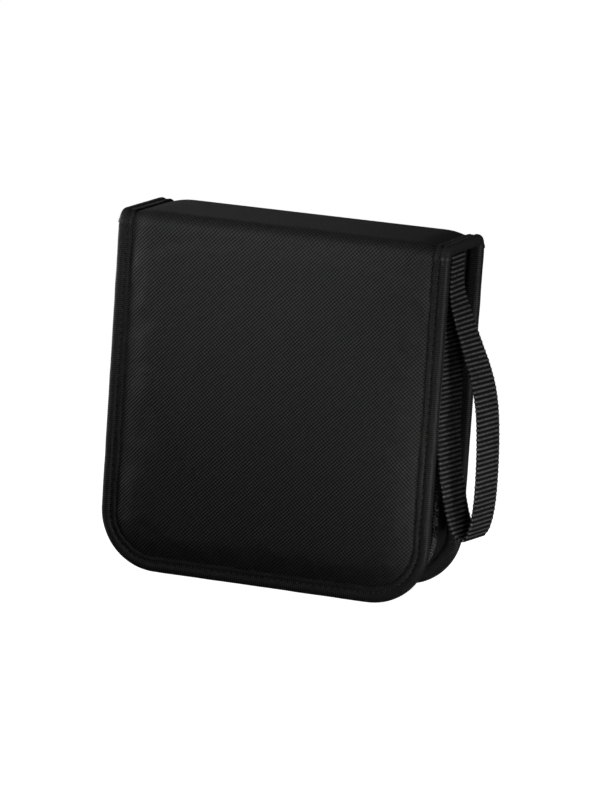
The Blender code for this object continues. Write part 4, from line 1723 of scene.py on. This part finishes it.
        Bench.laid(tape, lambda points: hung(points, self.wall), self.tape, ZIP_TAPE)
        bar = Bench.stitch(f"{end.label}_zip_bar", self.bar_length, radius=0.24 * MM, sink=0.3 * MM)
        Bench.repeat(bar, self.bar_stitches, self.bar_pitch, merge=False, axis=1)
        Bench.reshape(bar, lambda points: points + np.array([0, slot + 1.0 * MM, 0]))
        Bench.reshape(bar, lambda points: hung(points, self.wall - self.tape / 2 - 0.1 * MM))
        Bench.finished(bar, THREAD, Bench.SOFT)
        coils = Bench.join([self.end_coil(end, side, low.z) for side in Side], f"{end.label}_end_coils")
        Bench.finished(coils, COIL, Bench.ROUND)
        for piece in (tape, bar, coils):
            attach(piece, "spine")
        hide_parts(f"zip_end_{end.label}")
        return [tape, bar, coils]

    def end_coil(self, end: End, side: Side, low: float) -> Piece:
        """Coil loops on one half of a zip end.

        Args:
            end: Which end of the spine.
            side: Which half.
            low: Height at which the loops start.

        Returns:
            The loops.
        """
        coil = self.loop()
        pitch = self.slot / self.end_loops
        Bench.repeat(coil, self.end_loops, pitch, merge=False)
        Bench.keep_pattern(coil)
        shift = low + (0.3 if side is Side.FRONT else 0.7) * pitch

        def stood(points: np.ndarray) -> np.ndarray:
            """Stand the loops beside the middle."""
            x = self.case.middle + end.value * (self.case.width / 2 - points[:, 1])
            return np.stack([x, side.value * points[:, 2], shift + points[:, 0]], axis=1)

        return Bench.reshape(coil, stood)

    def metal(self, node: str, name: str, body: str, rim: float) -> Piece:
        """A metal part with soft edges, from its CAD form.

        Args:
            node: Name of the CAD node.
            name: Name of the piece.
            body: Body that it rides.
            rim: Width of the raised rim on its broad faces, 0 for none.

        Returns:
            The piece.
        """
        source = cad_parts[node]
        piece = Bench.duplicate(source, name)
        piece.data.transform(source.matrix_world)
        piece.parent = None
        piece.matrix_world = Matrix.Identity(4)
        with Bench.editing(piece):
            bpy.ops.mesh.remove_doubles(threshold=Bench.WELD)
            bpy.ops.mesh.dissolve_limited(angle_limit=math.radians(2))
        if rim:
            with Bench.editing(piece) as mesh:
                Bench.select_faces(mesh, lambda face: abs(face.normal.x) > 0.99)
                bpy.ops.mesh.inset(thickness=rim, depth=-0.45 * rim)
        Bench.modify(piece, "BEVEL", width=self.bevel, segments=2, limit_method="ANGLE",
                     angle_limit=math.radians(30))
        METAL.dress(Bench.shade(piece))
        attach(piece, body)
        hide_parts(node)
        return piece

    def build(self) -> list[Piece]:
        """Make the whole zip.

        Returns:
            The pieces that are added.
        """
        pieces = [self.metal("zip_slider", "slider_body", "slider", 0.0)]
        pieces.append(self.metal("zip_pull", "pull_tab", "pull", self.pull_rim))
        for side in Side:
            pieces += [self.build_coil(side), *self.build_tape(side)]
        for end in End:
            pieces += self.build_end(end)
        return pieces


@dataclass
class Inside:
    """Linings, boards, sleeves and the channel that holds them."""

    case: Case
    tuck: float = 6.6 * MM
    cloth: float = 0.36 * MM
    edge_depth: float = 2.6 * MM
    cover_depth: float = 4.1 * MM
    spine_depth: float = 4.8 * MM
    leaves: int = 24
    leaf: float = 0.9 * MM
    leaf_corner: float = 9 * MM
    mouth: float = 12 * MM
    notch: float = 9 * MM
    backing: float = 0.34 * MM
    film: float = 0.06 * MM
    film_gap: float = 0.24 * MM
    film_margin: float = 0.8 * MM
    channel_cloth: float = 0.55 * MM
    channel_rows: tuple[int, ...] = (0, 6, 26, 32)
    channel_hem: float = 0.25 * MM
    channel_cell: float = 2 * MM
    seam_height: float = 2.2 * MM
    seam_pitch: float = 3.2 * MM

    def depth(self, inset: np.ndarray, full: float) -> np.ndarray:
        """Depth of a lining that steps over the edge of its board.

        Args:
            inset: Distance in from the bound edge.
            full: Depth over the board.

        Returns:
            The depths.
        """
        share = eased(ramp(inset, 7.6 * MM, 1.8 * MM))
        return self.edge_depth + (full - self.edge_depth) * share

    def build_cover_lining(self, side: Side) -> Piece:
        """Lining of a cover: loose over its board and puckered along its edge.

        Args:
            side: Which cover.

        Returns:
            The piece.
        """
        case = self.case
        cloth = Bench.sheet(
            f"{side.label}_lining_cloth", case.width / 2 - self.tuck, self.tuck, case.cover_top, 2 * MM,
            case.corner_radius - self.tuck)

        def laid(points: np.ndarray) -> np.ndarray:
            """Lay the cloth over its board.

            Args:
                points: Corners of the piece before it.

            Returns:
                The corners moved.
            """
            x, up = points[:, 0], points[:, 1]
            inset = case.inset_of(x, up)
            free = ramp(inset, 9 * MM, 3 * MM)
            edge = free * np.exp(-((inset - 12 * MM) / (4 * MM)) ** 2)
            pucker = soft_noise(x + 0.2 * up, 3.5 * MM, 71) + soft_noise(up - 0.2 * x, 3.5 * MM, 72)
            loose = soft_noise(x + 0.6 * up, 26 * MM, 73) + soft_noise(up - 0.5 * x, 19 * MM, 74)
            swell = 0.35 * MM + 0.12 * MM * loose + edge * 0.12 * MM * pucker
            depth = self.depth(inset, self.cover_depth) + free * np.maximum(swell, 0)
            return np.stack([x + case.middle, side.value * (case.half_depth - depth), up], axis=1)

        Bench.laid(cloth, laid, self.cloth, LINING)
        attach(cloth, f"{side.label}_cover")
        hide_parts(f"{side.label}_cover_lining")
        return cloth

    def build_spine_lining(self) -> Piece:
        """Lining of the spine, bent over from fold to fold."""
        case = self.case
        half = case.width / 2 - self.tuck
        cloth = Bench.sheet("spine_lining_cloth", half, 0, case.arch_length, 1.3 * MM)

        def laid(points: np.ndarray) -> np.ndarray:
            """Bend the cloth under the spine.

            Args:
                points: Corners of the piece before it.

            Returns:
                The corners moved.
            """
            depth = self.depth(case.width / 2 - np.abs(points[:, 0]), self.spine_depth)
            uneven = soft_noise(points[:, 0] + 0.5 * points[:, 1], 9 * MM, 81)
            y, z = case.arch(points[:, 1], depth + 0.06 * MM * uneven)
            return np.stack([points[:, 0] + case.middle, y, z], axis=1)

        Bench.laid(cloth, laid, self.cloth, LINING)
        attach(cloth, "spine")
        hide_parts("spine_lining")
        return cloth

    def build_leaves(self) -> list[Piece]:
        """The sleeves: one backing with a film pocket on each face, copied at an even pitch.

        Returns:
            All the backings as one piece, and all the films as another.
        """
        low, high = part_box("sleeve_pages")
        half, middle = (high.x - low.x) / 2, (high.x + low.x) / 2
        pitch = (high.y - low.y - self.leaf) / (self.leaves - 1)

        def upright(points: np.ndarray) -> np.ndarray:
            """Stand a flat leaf up as the first one."""
            depth = low.y + self.leaf / 2 + points[:, 2]
            return np.stack([middle + points[:, 0], depth, points[:, 1]], axis=1)

        backing = Bench.sheet("sleeve_leaves", half, low.z, high.z, 9 * MM, self.leaf_corner)

        def wavy(points: np.ndarray) -> np.ndarray:
            """Make the leaf a little uneven."""
            points[:, 2] += 0.04 * MM * soft_noise(points[:, 0], 20 * MM, 91)
            return points

        Bench.reshape(backing, wavy)
        films = []
        margin = self.film_margin
        mouth = high.z - self.mouth
        for face in (-1, 1):
            film = Bench.sheet(f"film_{face}", half - margin, low.z + margin, mouth, 6.5 * MM,
                               self.leaf_corner - margin)

            def pocket(points: np.ndarray, face: int = face) -> np.ndarray:
                """Notch the film's mouth and round its face.

                Args:
                    points: Corners of the piece before it.

                Returns:
                    The corners moved.
                """
                x, up = points[:, 0], points[:, 1]
                round_part = np.sqrt(np.maximum(1 - (x / (1.5 * self.notch)) ** 2, 0))
                share = (up - low.z) / (mouth - low.z)
                up = up - self.notch * round_part * share ** 8
                inside = np.minimum(half - margin - np.abs(x), up - low.z - margin)
                bulge = 0.12 * MM * ramp(inside, 0, 12 * MM) ** 0.5
                uneven = 0.03 * MM * soft_noise(x + 0.4 * up, 14 * MM, 92) * ramp(inside, 0, 9 * MM)
                return np.stack([x, up, face * (self.film_gap + bulge + uneven)], axis=1)

            films.append(Bench.reshape(film, pocket))
        film = Bench.join(films, "sleeve_films")
        for piece, thickness in ((backing, self.backing), (film, self.film)):
            Bench.thicken(Bench.reshape(piece, upright), thickness)
            Bench.repeat(piece, self.leaves, pitch, merge=False, axis=1)
            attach(piece, "spine")
        BACKING.dress(backing)
        FILM.dress(film)
        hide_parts("sleeve_pages")
        return [backing, film]

    def build_channel(self) -> list[Piece]:
        """Cloth channel round the sleeves' heads, with a seam along each leg.

        Returns:
            The channel and its seams.
        """
        low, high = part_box("sleeve_anchor")
        half, middle, cloth = (high.x - low.x) / 2, (high.x + low.x) / 2, self.channel_cloth
        leg, across = high.z - low.z - cloth / 2, high.y - low.y - cloth
        cell = self.channel_cell
        channel = Bench.sheet("sleeve_channel", half, 0, self.channel_rows[-1] * cell, cell)

        def folded(points: np.ndarray) -> np.ndarray:
            """Fold the cloth round the sleeves' heads.

            Args:
                points: Corners of the piece before it.

            Returns:
                The corners moved.
            """
            stops = [0, leg, leg + across, 2 * leg + across]
            place = np.interp(points[:, 1] / cell, self.channel_rows, stops)
            y = low.y + cloth / 2 + np.clip(place - leg, 0, across)
            up = np.minimum(place, 2 * leg + across - place)
            hem = self.channel_hem * (1 + soft_noise(points[:, 0], 6 * MM, 95))
            hem = hem * np.clip(1 - up / leg, 0, 1)
            z = low.z + np.clip(up, 0, leg)
            return np.stack([middle + points[:, 0], y + np.sign(y) * hem, z], axis=1)

        Bench.laid(channel, folded, cloth, LINING)
        seams = []
        for side in Side:
            def sewn(points: np.ndarray, side: Side = side) -> np.ndarray:
                """Put the stitches on a leg of the channel.

                Args:
                    points: Corners of the piece before it.

                Returns:
                    The corners moved.
                """
                x = middle - half + 2 * MM + points[:, 0]
                share = 1 - self.seam_height / leg
                hem = share * self.channel_hem * (1 + soft_noise(x - middle, 6 * MM, 95))
                y = side.value * (high.y + hem - points[:, 2])
                return np.stack([x, y, low.z + self.seam_height + points[:, 1]], axis=1)

            name = f"{side.label}_channel_seam"
            seams.append(Bench.seam(name, 2 * half - 4 * MM, self.seam_pitch, sewn))
        seam = Bench.join(seams, "channel_seams")
        for piece in (channel, seam):
            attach(piece, "spine")
        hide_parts("sleeve_anchor")
        return [channel, seam]

    def build(self) -> list[Piece]:
        """Make the inner pieces and dress the boards.

        Returns:
            The pieces that are added.
        """
        for name in ("front_cover_board", "back_cover_board", "spine_board"):
            FOAM.dress(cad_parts[name])
        pieces = [self.build_cover_lining(side) for side in Side]
        return pieces + [self.build_spine_lining(), *self.build_leaves(), *self.build_channel()]


@dataclass(frozen=True)
class Lamp:
    """A square soft light: its place, width, power in watts, beam in degrees and the point it faces."""

    name: str
    place: tuple[float, float, float]
    width: float
    power: float
    spread: float
    aim: tuple[float, float, float]

    def add(self) -> None:
        """Add the light, unseen by the camera."""
        bpy.ops.object.light_add(type="AREA", location=self.place)
        light = bpy.context.object
        light.name = self.name
        light.data.size = self.width
        light.data.energy = self.power
        light.data.spread = math.radians(self.spread)
        light.visible_camera = False
        beam = Vector(self.aim) - Vector(self.place)
        light.rotation_euler = beam.to_track_quat("-Z", "Y").to_euler()


@dataclass
class Studio:
    """Pale floor and wall, soft lights and a camera at the photograph's angle."""

    case: Case
    yaw: float = 0.33441
    pitch: float = 0.17854
    roll: float = 0.06753
    distance: float = 2.2312
    lens: float = 225.0
    aside: float = 4.31 * MM
    above: float = 0.03 * MM
    air: float = 0.035
    floor_glow: float = 1.0
    paper_grain: float = 3 * MM
    lamps: tuple = (
        Lamp("key", (-0.42, -0.80, 0.34), 0.16, power=0.077, spread=24, aim=(-0.01, 0, 0.19)),
        Lamp("right", (0.76, -0.34, 0.12), 0.20, power=1.2, spread=120, aim=(-0.01, 0, 0.08)),
        Lamp("strap", (0.52, -0.80, 0.10), 0.08, power=0.012, spread=9, aim=(0.09, 0, 0.06)),
        Lamp("left", (-0.70, 0.02, 0.20), 0.25, power=0.9, spread=120, aim=(-0.01, 0, 0.08)),
        Lamp("top", (-0.12, -0.16, 0.85), 0.30, power=0.020, spread=24, aim=(-0.08, 0, 0.16)),
        Lamp("back", (-0.42, 0.80, 0.46), 0.30, power=0.003, spread=22, aim=(-0.09, 0, 0.15)))

    def build_camera(self) -> None:
        """Place the camera where the photograph was taken from."""
        out = math.cos(self.pitch)
        back = Vector((math.sin(self.yaw) * out, -math.cos(self.yaw) * out, math.sin(self.pitch)))
        level = Vector((math.cos(self.yaw), math.sin(self.yaw), 0))
        upright = back.cross(level)
        right = math.cos(self.roll) * level + math.sin(self.roll) * upright
        up = -math.sin(self.roll) * level + math.cos(self.roll) * upright
        centre = Vector((self.case.middle, 0, self.case.top / 2))
        Bench.deselect()
        bpy.ops.object.camera_add()
        camera = bpy.context.object
        camera.name = "camera"
        turn = Matrix((right, up, back)).transposed().to_4x4()
        place = centre + back * self.distance + right * self.aside + up * self.above
        camera.matrix_world = Matrix.Translation(place) @ turn
        camera.data.lens = self.lens
        camera.data.clip_start = 0.05
        camera.data.clip_end = 20
        bpy.context.scene.camera = camera

    def build_floor(self) -> None:
        """Lay a pale floor that is too wide to end in any view. Seen directly it is near white."""
        Bench.deselect()
        bpy.ops.mesh.primitive_plane_add(size=14, location=(0, 0, -0.2 * MM))
        floor = Bench.named("studio_floor")
        graph = Graph("studio_paper")
        place = graph.add("ShaderNodeTexCoord").outputs["Object"]
        grain = graph.noise(place, self.paper_grain, 3)
        seen = graph.add("ShaderNodeLightPath").outputs["Is Camera Ray"]
        paper = graph.mix(grain, (0.86, 0.86, 0.86), (0.92, 0.92, 0.92))
        dim = graph.mix(grain, (0.10, 0.10, 0.10), (0.12, 0.12, 0.12))
        blend = graph.add("ShaderNodeMix", {"Factor": seen, 6: dim, 7: paper}, data_type="RGBA")
        graph.send(blend.outputs[2], "Base Color")
        graph.shader.inputs["Roughness"].default_value = 0.9
        graph.shader.inputs["Specular IOR Level"].default_value = 0.0
        graph.shader.inputs["Emission Color"].default_value = (1, 1, 1, 1)
        graph.send(graph.times(seen, self.floor_glow), "Emission Strength")
        floor.data.materials.append(graph.material)

    def build_air(self) -> None:
        """Fill the room with dim light, white where the camera sees it."""
        world = bpy.data.worlds.new("studio_air")
        world.use_nodes = True
        tree = world.node_tree
        seen = tree.nodes.new("ShaderNodeLightPath").outputs["Is Camera Ray"]
        strength = tree.nodes.new("ShaderNodeMapRange")
        strength.inputs["To Min"].default_value = self.air
        strength.inputs["To Max"].default_value = 1.1
        tree.links.new(seen, strength.inputs["Value"])
        tree.nodes["Background"].inputs["Color"].default_value = (1, 1, 1, 1)
        tree.links.new(strength.outputs["Result"], tree.nodes["Background"].inputs["Strength"])
        bpy.context.scene.world = world

    def build(self) -> None:
        """Make the studio."""
        self.build_camera()
        self.build_floor()
        self.build_air()
        for lamp in self.lamps:
            lamp.add()
        bpy.context.scene.view_settings.view_transform = "Standard"


def report(pieces: list[Piece]) -> None:
    """Log each piece with its count of faces.

    Args:
        pieces: The pieces.
    """
    for piece in pieces:
        log.info("%s: %d faces", piece.name, len(piece.data.polygons))


def main() -> None:
    """Build the looks of the wallet, sub-assembly by sub-assembly."""
    logging.basicConfig(level=logging.INFO, format="%(name)s %(message)s")
    case = Case()
    Studio(case).build()
    wrap = PaddedWrap(case)
    report([wrap.build(side) for side in Side])
    binding = EdgeBinding(case)
    for side in Side:
        report(binding.build_cover(side))
    for end in End:
        report(binding.build_arch(end))
    report(ZipFastener(case).build())
    report(WristStrap(case).build())
    report(Inside(case).build())


if __name__ == "__main__":
    main()
